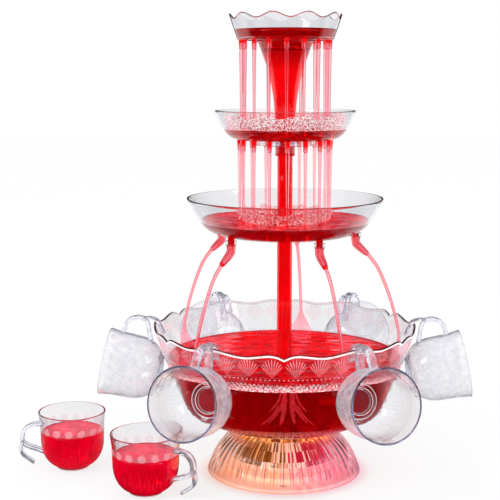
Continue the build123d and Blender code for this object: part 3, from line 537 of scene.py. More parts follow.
# %% Etched edge above the punch
# The rope band stands on a finely etched strip that is palest at its lower edge.
strip_z = np.linspace(strip_low, strip_high, 9)
strip_r = np.interp(strip_z, wall_run[:, 1], wall_run[:, 0])
strip = [np.stack([strip_r + proud, strip_z], 1) for proud in (0.05, 0.3)]
strip = np.concatenate([strip[0], strip[1][::-1]])
strip_tones = ["#FF6070", "#FF98A0", "#FFFFFF"]
etched_strip = veil("etched_polystyrene_strip", strip_tones, (0.3, 0.75), 2.2, 0.14, 0.4)
tree = etched_strip.node_tree
place = add(tree, "TexCoord").outputs["Object"]
height = add(tree, "SeparateXYZ", [place]).outputs["Z"]
fade = add(tree, "MapRange", [height, strip_low * MM, strip_high * MM, 1.0, 0.12])
masked(etched_strip, fade)
piece("bowl_etched_strip", [lathe(strip, 240, True)], etched_strip, "bowl")

# %% [markdown]
# ## Punch in the bowl
# Liquid touches its vessel, so its skin lies a tenth of a millimetre inside the plastic. A gap of air
# there would show as a silver film. The edge creeps up the wall in a small meniscus, and the top has
# low ripples from the falling streams.

# %% Bowl punch
touch = 0.12
meniscus = 1.6


def ripples(x, y, height, length, seed, count=14):
    """Sum of plane waves with random directions and lengths, from a seeded generator."""
    pick = np.random.default_rng(seed)
    heading = pick.uniform(0, np.pi, count)
    size = length * pick.uniform(0.5, 1.8, count)
    phase = pick.uniform(0, 2 * np.pi, count)
    waves = zip(np.cos(heading), np.sin(heading), size, phase)
    wave = [np.sin(2 * np.pi * (x * c + y * s) / k + p) for c, s, k, p in waves]
    return height * np.sum(wave, axis=0) / np.sqrt(count)


def pool(below, level, edge, columns, rows, height, length, seed):
    """Liquid skin: the vessel profile below, a meniscus at the edge radius that dies away exponentially,
    and a rippled top that runs in to the middle."""
    r = edge * np.linspace(1, 0, rows)
    creep = meniscus * np.exp(-(edge - r) / meniscus)
    low = np.asarray(below, float)
    grid = spun(np.concatenate([low[:, 0], r]), np.concatenate([low[:, 1], level + creep]), columns)
    top = grid[len(low) :]
    calm = np.clip((edge - r) / (0.08 * edge), 0, 1)[:, None] * np.clip(r / 6, 0, 1)[:, None]
    top[:, :, 2] += calm * ripples(top[:, :, 0], top[:, :, 1], height, length, seed)
    return skin(grid, False)


def filled(inner, floor_r, floor_z, level, *top):
    """Pool over a flat floor inside a curved profile, as a skin and the radius of its edge."""
    wet = [(0, floor_z - touch), (floor_r, floor_z - touch), *(inner + [touch, -touch]).tolist()]
    wet = [p for p in wet if p[1] < level - 1]
    edge = float(np.interp(level + meniscus, inner[:, 1], inner[:, 0])) + touch
    return pool(wet, level, edge, *top), edge


bowl_level = 163.0
wet = [(0, well_z - touch), (well_r, well_z - touch), (49, bowl_inner[0, 1] - touch)]
wet += (bowl_inner + [touch, -touch]).tolist()
wet += [(bowl_mid(z) - half_wall + touch, z) for z in (154.0, 158.0, 161.0)]
bowl_edge = float(bowl_mid(bowl_level + meniscus) - half_wall + touch)
bowl_pool = pool(eased(wet, 0.6), bowl_level, bowl_edge, 300, 130, 0.55, 24, 3)
piece("bowl_punch", [bowl_pool], punch, "bowl")

# %% [markdown]
# ## Columns and the punch inside them
# A tube of punch in a thick clear tube works as a lens: the red seems to fill it nearly to its edge.

# %% Columns
bore, tube_r, collar = 7.5, 10.5, 13.5
water_line = bowl_level - 0.6
wet_tube = [(bore, 91.25), (tube_r, 91.25), (tube_r, water_line), (bore, water_line)]
piece("lower_column_under_punch", [ring(wet_tube, 0.3, 64)], wet_plastic, "large_tower")
lower_tube = [(bore, water_line), (tube_r, water_line), (tube_r, 331.4), (collar, 331.4), (collar, 334)]
lower_tube += [(tube_r, 334), (tube_r, 345), (bore, 345)]
piece("lower_column_glass", [ring(lower_tube, 0.6, 64)], plastic, "large_tower", ["lower_column"])
upper_tube = [(7.2, 333), (7.2, 346.25), (tube_r, 346.25), (tube_r, 444.4), (collar, 444.4), (collar, 447)]
upper_tube += [(tube_r, 447), (tube_r, 470), (bore, 470), (bore, 349), (5.2, 349), (5.2, 333)]
piece("upper_column_glass", [ring(upper_tube, 0.5, 64)], plastic, "middle_tower", ["upper_column"])
rod = 10.1
for name, body, heights in (
    ("lower_riser_punch", "large_tower", (water_line, 333, 344.9)),
    ("upper_riser_punch", "middle_tower", (349, 400, 457.9)),
):
    line = [(0, heights[0]), *((rod, z) for z in heights), (0, heights[-1])]
    piece(name, [lathe(line, 64)], rushing_punch, body)

# %% [markdown]
# ## Tiers
# The large and middle tiers are plain turned dishes with hubs that clamp on the columns. The top tier
# is a flared cup with ten waves in its rim, made like the bowl wall.

# %% Large tier
large_knots = [(58, 334), (82, 336.2), (98, 340), (109, 346.5), (118, 356.5), (127.5, 371), (134.2, 385)]
large_wall = 2.6
large_out = smooth_line(large_knots, 40)
large_in = smooth_line(inset(large_knots, large_wall), 40)
large_ring = [(10.4, 334), *large_out.tolist(), (135, 387), (132.4, 387), *large_in[::-1].tolist()]
large_ring += [(13.35, large_in[0, 1]), (13.35, 343.5), (10.4, 343.5)]
spout_circle = 100
spout_angle = np.radians(9 + 72 * np.arange(5))
socket = ring([(4.55, 331), (7.5, 331), (7.5, 337), (4.55, 337)], 0.5, 32)
large_parts = [ring(large_ring, 0.9, 240)]
large_parts += [placed(socket, on_circle(a, spout_circle)) for a in spout_angle]
piece("large_tier_glass", large_parts, plastic, "large_tower", ["large_tier"])

# %% Middle tier
middle_knots = [(67, 467), (75.5, 471), (82.5, 478.5), (89.5, 490), (95, 503.5)]
middle_floor, middle_top, tier_wall = 467, 469.4, 2.4
middle_out = smooth_line(middle_knots, 30)
middle_in_knots = inset(middle_knots, tier_wall)
middle_in_knots[0] = (67, middle_top)
middle_in = smooth_line(middle_in_knots, 30)
middle_ring = [*middle_out.tolist(), (95.9, 506), (93.5, 506), *middle_in[::-1].tolist()]
middle_ring += [(10.4, middle_top), (10.4, 447), (13.35, 447), (13.35, middle_floor)]
middle_ring += [(38, middle_floor), (38, 459), (40, 459), (40, middle_floor)]
piece("middle_tier_glass", [ring(middle_ring, 0.8, 200)], plastic, "middle_tower", ["middle_tier"])

# %% Top tier and riser cone
top_columns = 320
top_floor, top_foot_r = 600, 64.7
top_flare = (75.5 - top_foot_r) / 31.7
top_half = 1.2
top_crest = 631.7 - 3.3 * np.cos(10 * (turns(top_columns) - np.radians(-85)))


def top_mid(z):
    """Radius of the middle of the top tier's straight flared wall at a height."""
    return top_foot_r - top_half + (np.asarray(z, float) - top_floor) * top_flare


up_r, up_z = waved_wall(float(top_floor), top_crest, 16, top_mid, top_half, top_half)
under = [(36, 600), (42.3, 600), (42.3, 597.6), (44.7, 597.6), (44.7, 600), (top_foot_r, 600)]
inside_floor = [(63.1, 602.4), (38.4, 602.4), (38.4, 604.4), (36, 604.4), (36, 601)]
outside_rows = np.arange(len(up_z)) < len(up_z) // 2
rows = outside_rows | (up_z.min(axis=1) > 602.6)
top_grid = stacked(eased(under, 0.5), (up_r[rows], up_z[rows]), eased(inside_floor, 0.5), top_columns)
piece("top_tier_glass", [skin(top_grid, True)], plastic, "top_tower", ["top_tier"])
cone_out = smooth_line([(12.8, 471.25), (14.4, 503), (21.8, 552), (38.2, 600)], 40)
cone_in = cone_out - [2.2, 0]
cone_ring = [(5.2, 458), (7.2, 458), (7.2, 471.25), *cone_out[:-2].tolist(), (37.1, 597.6), (42, 597.6)]
cone_ring += [(42, 600), *cone_in[:1:-1].tolist(), (10.6, 473.45), (5.2, 473.45)]
piece("riser_cone_glass", [ring(cone_ring, 0.5, 96)], plastic, "top_tower", ["riser_cone"])

# %% [markdown]
# ## Nozzles and spouts
# Push-in nozzles ring the undersides of the upper tiers, and bent spouts swivel under the large one.
# A spout is one pipe skin: down the outside along its bent path and back up the bore.

# %% Nozzle rings
middle_circle = (62, 3.2)
top_circle = (59.6, 1.5)


def ring_places(circle, turn):
    """Matrices of sixteen places round a circle, the first one turned from the front by some degrees."""
    return [on_circle(a, circle) for a in np.radians(turn - 90) + turns(16)]


def nozzle_ring(tier, floor, circle, top, tip, length):
    """Sixteen stepped nozzles that hang from a tier floor, turned from one outline."""
    outline = [(1.8, floor - length), (tip, floor - length), (top, floor - 2), (top, floor), (2.6, floor)]
    outline += [(2.6, floor + tier_wall + 0.8), (1.8, floor + tier_wall + 0.8)]
    part = ring(outline, 0.5, 24)
    parts = [placed(part, m) for m in ring_places(*circle)]
    piece(f"{tier}_nozzle_glass", parts, rinsed_plastic, f"{tier}_tower", [f"{tier}_nozzles"])


nozzle_ring("middle", middle_floor, middle_circle, 3.9, 2.9, 15)
nozzle_ring("top", top_floor, top_circle, 3.4, 3.1, 12.5)

# %% Arc spouts
spout_bore = 2.4
bend = [(0, 341.5), (0, 330.9), (0, 330.7), (0, 326), (0.6, 321.6), (3.4, 318.4), (9, 313.2), (15, 308.1)]
bend = np.array(bend + [(17.5, 306)])
girth = np.array([4.5, 4.5, 6.0, 6.0, 6.0, 5.7, 5.0, 4.1, 3.4])
outside, inside = tube(bend, girth, girth, 32), tube(bend, spout_bore, spout_bore, 32)
spout = skin(np.concatenate([outside, inside[::-1]]), True)
for i, a in enumerate(spout_angle, 1):
    part = placed(spout, on_circle(a, spout_circle))
    piece(f"arc_spout_glass_{i}", [part], rinsed_plastic, f"spout_{i}", [f"arc_spout_{i}"])

# %% [markdown]
# ## Punch in the tiers, and the falling streams
# Each pool belongs to its tier and moves with it. A stream hangs from its nozzle, with air down its
# middle, so that its sides are redder than its face.

# %% Pools of the tiers
large_level, middle_level, top_level = 355.5, 480.5, 613.0
large_pool, _ = filled(large_in, 13, large_in[0, 1], large_level, 240, 100, 0.5, 20, 5)
piece("large_tier_punch", [large_pool], punch, "large_tower")
middle_pool, _ = filled(middle_in, 20, middle_top, middle_level, 160, 50, 0.3, 15, 7)
piece("middle_tier_punch", [middle_pool], punch, "middle_tower")
calm_from = 588
cone_wet = cone_out[2:-1] - [0.4, 0]
still = cone_wet[cone_wet[:, 1] > calm_from].tolist()
rush = cone_wet[cone_wet[:, 1] < calm_from].tolist()
swirl = [(rush[-1][0] * t, 570 + 17 * t**2) for t in (0.0, 0.2, 0.4, 0.6, 0.8, 0.97)]
rising = [(0, 458), (5.2 + touch, 458), (5.2 + touch, 473), (10.6, 473.3), *rush, *swirl[::-1]]
piece("cone_punch", [lathe(rising, 96)], rushing_punch, "top_tower")
wet = [(r, z - 0.1) for r, z in swirl] + still + [(36 + touch, 602.3), (63.0, 602.4 - touch)]
wet += [(top_mid(z) - top_half + touch, z) for z in (606.0, 610.0)]
top_edge = float(top_mid(top_level + meniscus) - top_half) + touch
top_pool = pool(eased(wet, 0.4), top_level, top_edge, 160, 50, 0.25, 14, 11)
piece("top_tier_punch", [top_pool], punch, "top_tower")


def streams(tier, start, tip, landing, circle):
    """Sixteen slim hollow jets: bore width inside the nozzle, a swell below its tip, then a slow taper to
    the pool, with a sine wobble that grows on the way down."""
    z = np.concatenate([[start], np.linspace(tip, tip - 6, 5), np.linspace(tip - 10, landing, 14)])
    s = np.clip((tip - z) / (tip - landing), 0, 1)
    r = np.where(z >= tip, 1.9, 1.9 + 0.9 * np.clip((tip - z) / 3, 0, 1) - 1.3 * s**0.7)
    wobble = 0.15 * np.sin(z / 4.0) * s
    line = np.stack([r + wobble, z], 1)
    part = lathe(np.concatenate([line, (line - [0.45, 0])[::-1]]), 20, True)
    parts = [placed(part, m) for m in ring_places(*circle)]
    made = piece(f"{tier}_streams", parts, thin_punch, f"{tier}_tower")
    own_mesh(made)


streams("middle", 470, 452, large_level - 1, middle_circle)
streams("top", 603, 587.5, middle_level - 1, top_circle)

# %% Arc streams from the spouts to the bowl
# Near the bowl wall the jet spreads into a film.
fall_knots = [(117, 306.5), (128, 293), (141, 268), (153, 236), (161.5, 206), (164.5, 188), (163, 174)]
fall_knots += [(159.5, 163), (158, 160)]
fall = smooth_line(fall_knots, 40)
spread = np.clip((196 - fall[:, 1]) / 30, 0, 1)
jet = 2.5 - 0.5 * np.linspace(0, 1, 40)
inside_path = bend[1:-1] + [spout_circle, 0]
whole = np.concatenate([inside_path, fall])
narrow = np.full(len(inside_path), spout_bore + touch)
deep_half = np.concatenate([narrow, jet - 0.9 * spread])
side_half = np.concatenate([narrow, jet + 15 * spread**1.3])
arc_skin = tube(whole, deep_half, side_half, 20)
arc_air = tube(whole, 0.72 * deep_half, side_half - 0.28 * deep_half, 20)
arc = skin(np.concatenate([arc_skin, arc_air[::-1]]), True)
(tip_r, tip_z), (land_r, land_z) = fall_knots[0], fall_knots[-1]
up = np.array([0.0, 0.0, 1.0])
for i, a in enumerate(spout_angle, 1):
    made = piece(f"arc_stream_{i}", [placed(arc, turned_to(a))], arc_punch, f"spout_{i}")
    out = np.array([np.cos(a), np.sin(a), 0.0])
    along = (land_r - tip_r) * out + (land_z - tip_z) * up
    along = (along / np.linalg.norm(along)).tolist()
    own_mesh(made)


# %% Splash crowns where the streams land
def crown(name, film, level, line, seed, body, ragged):
    """Thin ring of froth that stands on a pool: a flaring wall along a line of (radius, height over the
    pool) points, with a ragged top edge and a face that small waves break up."""
    columns, rows, thick = 360, 16, 0.35
    a = turns(columns)[None]
    run = smooth_line(line, rows)
    t = np.linspace(0, 1, rows)[:, None]
    top = 1 + ragged * (np.cos(16 * a) * 0.5 + ripples(60 * a, 0 * a, 0.7, 18, seed)) * t
    rough = ripples(run[:, :1] * a, 50 * t + 0 * a, 0.5, 6, seed + 1, 24)
    r = run[:, :1] + rough * np.clip(4 * t, 0, 1)
    z = level + run[:, 1:] * top
    grid = spun(np.concatenate([r + thick, r[::-1] - thick]), np.concatenate([z, z[::-1]]), columns)
    piece(name, [skin(grid, True)], film, body)


splash_line = [(56, -0.5), (58, 4), (62, 9), (66.5, 14)]
crown("large_tier_splash", skirt, large_level, splash_line, 21, "large_tower", 0.14)
froth_line = [(78, -0.5), (81, 5), (82, 11), (82.5, 18)]
crown("middle_tier_froth", froth, middle_level, froth_line, 31, "middle_tower", 0.12)

# %% [markdown]
# ## Cups
# A cup is a turned bulb with a flared lip, and its handle is one flat bar bent into a finger loop
# that ends in a hook for the bowl rim. The bar is a rounded rectangle carried along its centre line.
# A row of small medallions and shallow rays on the bulb are the moulded ornament, and a painted sheen lies
# on the walls of the dry cups, with painted glints on their foot rings. Every cup is made of the same
# skins, set at its own place.

# %% Cup body
cup_knots = [(24.5, 3.5), (32.2, 8.7), (39.5, 18.6), (43.6, 31.2), (44.7, 46), (45.2, 65)]
cup_wall, cup_floor, cup_columns = 2.4, 5.9, 192
cup_out = smooth_line(cup_knots, 34)
cup_in_knots = inset(cup_knots, cup_wall)
cup_in_knots[0] = (22.5, cup_floor)
cup_in = smooth_line(cup_in_knots, 34)
cup_line = [(0, 0.8), (15, 0.8), (16, 0), (22.5, 0), (22.5, 1.75), *cup_out.tolist(), (47.5, 82)]
cup_line = eased(cup_line + [(45.1, 82), *cup_in[::-1].tolist(), (0, cup_floor)], 0.8)
cup_body = lathe(cup_line, cup_columns)
print("cup profile points:", len(cup_line))

# %% Painted sheen and foot ring glints of the cups
# A thin film over the outer wall carries the painted sheen. Its outer skin is marked, so the sheen shows
# only from outside.
sheen_outline = [*cup_out[cup_out[:, 1] > 8].tolist(), (47.2, 80)]
painted_sheen_ring = lathe([(r + 0.04, z) for r, z in sheen_outline] + [(r + 0.16, z) for r, z in sheen_outline[::-1]], 96, True)
painted_sheen_side = np.repeat([0.0, 1.0], 96 * len(sheen_outline))
# Two thin rings on the inner floor carry painted glints of the foot rings.
foot_ring_glints = [[(r, 5.93), (r + 0.9, 5.93), (r + 0.9, 6.1), (r, 6.1)] for r in (17.2, 22.3)]
foot_ring_glints = [lathe(line, 64, True) for line in foot_ring_glints]
print("cup haze points:", len(painted_sheen_side))

# %% Cup medallions and petals
# A medallion is an oval with the lift of a half ellipse, wrapped onto the bulb.
dome_s = np.linspace(0, 1, 6)[:, None]
dome_a = turns(16)[None, :]
dome_side = 5.6 * dome_s * np.cos(dome_a)
dome_z = 59.7 + 5.2 * dome_s * np.sin(dome_a)
dome_r = np.interp(dome_z, cup_out[:, 1], cup_out[:, 0]) + 0.05
dome_turn = turns(16)[:, None, None] + dome_side / 45
medals = []
for lift in (0.7 * np.sqrt(np.clip(1 - dome_s**2, 0, 1)), 0 * dome_s):
    r = (dome_r + lift)[None] * np.ones_like(dome_turn)
    medals.append(np.stack([r * np.cos(dome_turn), r * np.sin(dome_turn), dome_z[None] + 0 * r], axis=3))
medals = [skin(np.concatenate([front, behind[::-1]]), False) for front, behind in zip(*medals)]
petal_rows = [[0, 0], [8, 12], [0, 0], [40, 30], [3.0, -3.0], [0.8, 0.8]]
petals = rays(cup_out, turns(24), petal_rows, 0.2)
print("cup medallions and petals:", len(medals), len(petals))

# %% Cup handle
loop_knots = [(43.5, 63), (52, 63), (61.5, 60.4), (68.4, 53.5), (71, 44), (70.6, 38.8), (68.6, 34.8)]
loop_knots += [(65, 32.1), (54, 27.9), (42.5, 23.5), (36, 21)]
tail_knots = [(69.6, 38), (72.5, 33), (73.4, 27.6), (71.8, 20.8), (67.3, 15.6), (62.0, 11.7), (55.1, 6.7)]
squareness = 0.45
handle_parts = []
for knots, count, half_thick, half_wide in ((loop_knots, 90, 3.0, 5.8), (tail_knots, 40, 2.25, 5.7)):
    bar = tube(smooth_line(knots, count), half_thick, half_wide, 20, squareness)
    handle_parts.append(skin(capped(bar), False))
print("cup handle bars:", len(handle_parts))


# %% Hung cups
def turned_about(matrix, point, axis, angle):
    """A place matrix turned about a line through a point: the part along the axis stays, the rest turns."""
    m = np.asarray(matrix, float)
    k = np.asarray(axis, float)
    cross = np.array([[0, -k[2], k[1]], [k[2], 0, -k[0]], [-k[1], k[0], 0]])
    turn = np.eye(3) + np.sin(angle) * cross + (1 - np.cos(angle)) * cross @ cross
    return np.concatenate([turn @ m[:, :3], (turn @ (m[:, 3] - point) + point)[:, None]], axis=1)


def set_cup(kind, number, body, place, dress):
    """Pieces of one cup at its place, from rows of name, skins and look. Its glass stands for the CAD cup,
    its punch fills no slot, and its haze is marked by which side of it faces out. Its glass stands for the
    CAD cup, and its painted sheen is marked by which side of it faces out."""
    for part, skins, look in dress:
        stands_for = [f"{kind}_{number}"] if part == "glass" else ()
        moved = [placed(p, place) for p in skins]
        made = piece(f"{kind}_{part}_{number}", moved, look, body, stands_for)
        if part == "painted_wall_sheen":
            made.data.attributes.new("outer", "FLOAT", "POINT").data.foreach_set("value", painted_sheen_side)


dry_dress = [("glass", [cup_body], cup_plastic), ("handle", handle_parts, handle_plastic)]
dry_dress += [("medals", medals, pale), ("painted_wall_sheen", [painted_sheen_ring], painted_wall_sheen), ("petals", petals, pale)]
dry_dress += [("foot_ring_glints", foot_ring_glints, glint)]
lean = np.radians(11.0)
crest_r = float(bowl_mid(lobe_top))
seat_x, seat_z = 68.6, 22.8
hang_r = crest_r - seat_z * np.cos(lean) + seat_x * np.sin(lean)
hang_z = lobe_top - seat_z * np.sin(lean) - seat_x * np.cos(lean)
yaws, swings = np.radians([[0, 0, 0, 0, 4, -4], [0, 0, 0, 0, -9, 9]])
for i, (yaw, swing) in enumerate(zip(yaws, swings)):
    out = np.array([np.cos(i * np.pi / 3), np.sin(i * np.pi / 3), 0.0])
    x_dir = -np.sin(lean) * out + np.cos(lean) * up
    z_dir = np.cos(lean) * out + np.sin(lean) * up
    hang = np.stack([x_dir, np.cross(z_dir, x_dir), z_dir, hang_r * out + hang_z * up], axis=1)
    rim_point = crest_r * out + lobe_top * up
    wall_up = np.sin(wall_lean) * out + np.cos(wall_lean) * up
    hang = turned_about(hang, rim_point, np.cos(wall_lean) * out - np.sin(wall_lean) * up, swing)
    hang = turned_about(hang, rim_point, wall_up, yaw)
    hang[:, 3] += wall_up * 4.0 * abs(np.sin(swing))
    set_cup("hung_cup", i + 1, f"cup_{i + 1}", hang, dry_dress)

# %% Filled cups on the table
cup_level = 53.0
drink, cup_edge = filled(cup_in, 21, cup_floor, cup_level, 120, 40, 0.08, 18, 41)
inner_edge = cup_edge - 0.9
# A thin disc just over the punch carries a painted sheen on its top.
painted_sheen_disc = [(0, 0.3), (inner_edge, 1.3), (inner_edge, 1.5), (0, 0.5)]
painted_sheen_disc = lathe([(r, cup_level + z) for r, z in painted_sheen_disc], 96)
full_dress = [("glass", [cup_body], rinsed_cup), ("handle", handle_parts, handle_plastic)]
full_dress += [("medals", medals, frosted), ("petals", petals, ruby)]
full_dress += [("punch", [drink], cup_punch), ("punch_painted_sheen", [painted_sheen_disc], sheen)]
for i, (x, y, turn) in enumerate([(-301.0, 0.0, 184.0), (-184.5, -99.0, -22.0)], 1):
    set_cup("table_cup", i, f"table_cup_{i}", turned_to(np.radians(turn), x, y), full_dress)

# %% [markdown]
# ## Lighted base
# The base is a clear dome with concave flutes that run out into a plain skirt. Light from amber lamps
# on one side and pink ones on the other fills it, and a metallised cone under the bowl throws it out.
# The skirt is textured inside, and the soft glow it shows is painted, as are the dark ridges and the lit
# hollows of the flutes.

# %% Base dome
base_knots = [(107.7, 1.5), (105.4, 9), (99.7, 23), (90.6, 38), (78.4, 51), (61, 62)]
dome_out = smooth_line(base_knots, 44)
dome_in = smooth_line([(r - 3, z) for r, z in base_knots[:-1]], 36)
flutes, flute_columns = 48, 10
base_columns = flutes * flute_columns
groove_depth = np.interp(dome_out[:, 1], [1.5, 5, 12, 23, 38, 51, 62], [0, 0, 0.9, 1.5, 1.9, 1.7, 1.0])
across = (np.arange(base_columns) % flute_columns) / flute_columns
groove = 1 - (2 * across - 1) ** 2
base_outline = np.concatenate([dome_out, [(50, 62), (50, 59), (53, 59)], dome_in[::-1]])
depth = np.concatenate([groove_depth, np.zeros(len(base_outline) - len(dome_out))])
base_r = base_outline[:, :1] - depth[:, None] * groove[None]
base_skin = skin(spun(base_r, base_outline[:, 1], base_columns), True)

# %% Base plastic
# Clear polystyrene with a frosted skirt. Painted shade darkens the ridges of its flutes in dark gold and
# crimson, and painted lamp light glows in their hollows and, more strongly, low on the skirt.
base_plastic, tree, place = finish("fluted_polystyrene_frosted_skirt")
part = add(tree, "SeparateXYZ", [place]).outputs
height = part["Z"]
share = add(tree, "MapRange", [part["X"], -0.1, 0.1])
# Painted lamp light and painted shade, amber on the left and pink on the right.
lit = add(tree, "ValToRGB", [share], even_stops(["#FFA070", "#FF5C8C"]))
shade = add(tree, "ValToRGB", [share], even_stops(["#A07038", "#B02858"]))
angle = add(tree, "Math", [part["Y"], part["X"]], operation="ARCTAN2")
flute = add(tree, "Math", [angle, flutes / (2 * np.pi)], operation="MULTIPLY")
flute = add(tree, "Math", [flute, flutes], operation="ADD")
flute = add(tree, "Math", [flute], operation="FRACT")
upper = add(tree, "MapRange", [height, 0.008, 0.02])
ridge_marks = [(0, 0.8), (0.1, 0), (0.62, 0), (0.7, 0.6), (0.78, 0), (0.9, 0), (1, 0.8)]
hollow_marks = [(0, 0), (0.38, 0), (0.48, 1), (0.58, 0), (1, 0)]
bands = []
for marks in (ridge_marks, hollow_marks):
    band = add(tree, "ValToRGB", [flute], [(at, (value, value, value, 1)) for at, value in marks])
    bands.append(add(tree, "Math", [band, upper], operation="MULTIPLY"))
ridge, hollow = bands
painted_ridge_shade = add(tree, "Mix", {0: ridge, 6: linear("#FFF4F0"), 7: shade}, data_type="RGBA").outputs[2]
painted_lamp_fill = add(tree, "MapRange", [height, 0.004, 0.045, 0.06, 0.01])
painted_lamp_fill = add(tree, "Math", [hollow, 0.12, painted_lamp_fill], operation="MULTIPLY_ADD")
frost = add(tree, "MapRange", [height, 0.006, 0.022, 0.22, 0.02])
inputs = {"Base Color": painted_ridge_shade, "Transmission Weight": 1.0, "IOR": plastic_ior, "Roughness": frost}
inputs |= {"Emission Color": lit, "Emission Strength": painted_lamp_fill}
add(tree, "OutputMaterial", [add(tree, "BsdfPrincipled", inputs)])
piece("base_shell_glass", [base_skin], base_plastic, "base", ["base_shell"])

# %% [markdown]
# ## Finishes of the inner parts
# The CAD parts inside the base keep their shapes. Moulded plastic has a fine grain, pressed steel a
# soft brushed sheen, and painted lamp light glows over floor and board from amber to pink.


# %% Plain finishes
def facet(tree, part):
    """Number of the facet round the axis, eighty to a turn, that a point lies on."""
    angle = add(tree, "Math", [part["Y"], part["X"]], operation="ARCTAN2")
    column = add(tree, "Math", [angle, 40 / np.pi], operation="MULTIPLY")
    return add(tree, "Math", [column], operation="FLOOR")


def moulded(name, colour, roughness, grain_mm, metallic=0.0, glow=None, glow_strength=0.0, spread=0.0):
    """Opaque material with a fine grain in its roughness and relief, and an optional painted glow of lamp
    light from left to right, which may vary from facet to facet."""
    made, tree, place = finish(name)
    grain = add(tree, "TexNoise", {"Vector": place, "Scale": 1 / (grain_mm * MM), "Detail": 4.0})
    rough = add(tree, "MapRange", [grain, 0.0, 1.0, roughness - 0.08, roughness + 0.1])
    relief = add(tree, "Bump", {"Distance": 0.05 * MM, "Strength": 0.6, "Height": grain})
    inputs = {"Base Color": linear(colour), "Metallic": metallic, "Roughness": rough, "Normal": relief}
    if glow:
        part = add(tree, "SeparateXYZ", [place]).outputs
        share = add(tree, "MapRange", [part["X"], -0.09, 0.09])
        patch = add(tree, "TexWhiteNoise", {"W": facet(tree, part)}, noise_dimensions="1D")
        patch = add(tree, "Math", [patch, 0.5], operation="SUBTRACT")
        share = add(tree, "Math", [patch, spread, share], operation="MULTIPLY_ADD")
        light = add(tree, "ValToRGB", [share], even_stops(glow))
        inputs |= {"Emission Color": light, "Emission Strength": glow_strength}
    add(tree, "OutputMaterial", [add(tree, "BsdfPrincipled", inputs)])
    return made


def paint(look, *names):
    """Gives CAD parts one finish in place of their own."""
    for name in names:
        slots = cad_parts[name].data.materials
        slots.clear()
        slots.append(look)
    print(f"{look.name}:", *names)


# %% Inner parts
# Painted lamp light on floor, board and mount: amber on the left to pink on the right.
wash = ["#E88850", "#F0A880", "#F4B8A8", "#E85880", "#E43870"]
white_abs = moulded("white_moulded_abs", "#F2EFEA", 0.45, 1.5, 0.0, wash, 0.5, 0.35)
paint(white_abs, "base_floor", "light_board", "motor_mount")
paint(moulded("white_acetal", "#EDEBE6", 0.4, 1.5), "drive_wheel", "impeller")
black_abs = moulded("black_moulded_abs", "#16161A", 0.45, 1.2)
paint(black_abs, "switch_housing", "switch_rocker", "cord_gland")
paint(moulded("black_pvc_sheath", "#1E1E22", 0.55, 1.0), "supply_leads")
steel = moulded("zinc_plated_steel", "#B8BABE", 0.3, 0.8, 1.0)
paint(steel, "floor_screws", "motor_screws", "motor_can", "motor_shaft", "impeller_pin")
paint(moulded("sintered_ferrite", "#2C2C30", 0.6, 0.7), "drive_magnets", "impeller_magnets")
paint(moulded("pale_foot_rubber", "#E6DAD4", 0.7, 0.9), "rubber_feet")
paint(moulded("pale_silicone", "#E4DEDA", 0.5, 1.1), "pump_gasket", "column_gasket", "cone_gasket")
paint(moulded("lit_amber_lamp", "#FFC46A", 0.3, 2.0, 0.0, ["#FFB080", "#FFB888"], 0.6), "amber_lamps")
paint(moulded("lit_pink_lamp", "#FF86A8", 0.3, 2.0, 0.0, ["#FF90A8", "#FF80A0"], 0.6), "pink_lamps")
# The seat ring's gold glints are painted: a glow from dark to pale gold and red that changes from facet to
# facet.
gold_painted_glints = ["#5A3008", "#FFC060", "#FFE8B0", "#802818"]
paint(moulded("gold_metallised_plastic", "#E0B25C", 0.16, 3.0, 1.0, gold_painted_glints, 0.5, 1.2), "bowl_seat_ring")
paint(wet_plastic, "pump_housing")

# %% [markdown]
# ## Metallised reflector
# The cone inside the base carries a painted reflection of the lamps: old gold on the amber side, a
# bright white patch at the front and back, and crimson on the pink side. Its colour, which it also gives
# off as a painted glow, is a ramp from left to right, shifted from facet to facet and band to band.

# %% Reflector
reflector, tree, place = finish("metallised_lamp_cone")
part = add(tree, "SeparateXYZ", [place]).outputs
share = add(tree, "MapRange", [part["X"], -0.078, 0.078])
row = add(tree, "Math", [part["Z"], 0.011], operation="DIVIDE")
row = add(tree, "Math", [row], operation="FLOOR")
cell = add(tree, "CombineXYZ", {"X": facet(tree, part), "Y": row})
patch = add(tree, "TexWhiteNoise", {"Vector": cell}, noise_dimensions="2D")
shifted = add(tree, "Math", [patch, 0.3, share], operation="MULTIPLY_ADD")
lowered = add(tree, "Math", [shifted, 0.15], operation="SUBTRACT")
# Painted reflection of the lamps, which the cone also gives off as a painted glow.
stops = [(0.0, "#F0B890"), (0.10, "#B98A50"), (0.20, "#6A4A12"), (0.34, "#7A5A1C"), (0.42, "#F0C080")]
stops += [(0.50, "#FFF6E8"), (0.60, "#F6D8C8"), (0.68, "#D02848"), (0.84, "#B01040"), (0.93, "#E86090")]
stops += [(1.0, "#F4A0BC")]
tones = add(tree, "ValToRGB", [lowered], [(at, linear(code)) for at, code in stops])
inputs = {"Base Color": tones, "Metallic": 0.3, "Roughness": 0.25}
inputs |= {"Emission Color": tones, "Emission Strength": 0.6}
add(tree, "OutputMaterial", [add(tree, "BsdfPrincipled", inputs)])
paint(reflector, "light_reflector")

# %% [markdown]
# ## Studio
# Clear plastic is lit as glassware is: the background is bright, and what the surfaces mirror is
# darker, so edges draw themselves as grey lines. The world is white where a ray goes straight on or
# through, and a dimmer room with three soft boxes where it is reflected. Light that is caught inside
# thick plastic, and mirrored there twice or more, sees the bright sides of the room, so thick edges
# stay pale. The table is plain white, with a painted glow near the base.

# %% World
world = bpy.data.worlds.new("studio")
bpy.context.scene.world = world
world.use_nodes = True
tree = world.node_tree
tree.nodes.clear()
heading = add(tree, "TexCoord").outputs["Generated"]
path = add(tree, "LightPath").outputs
soft = {"interpolation_type": "SMOOTHSTEP"}


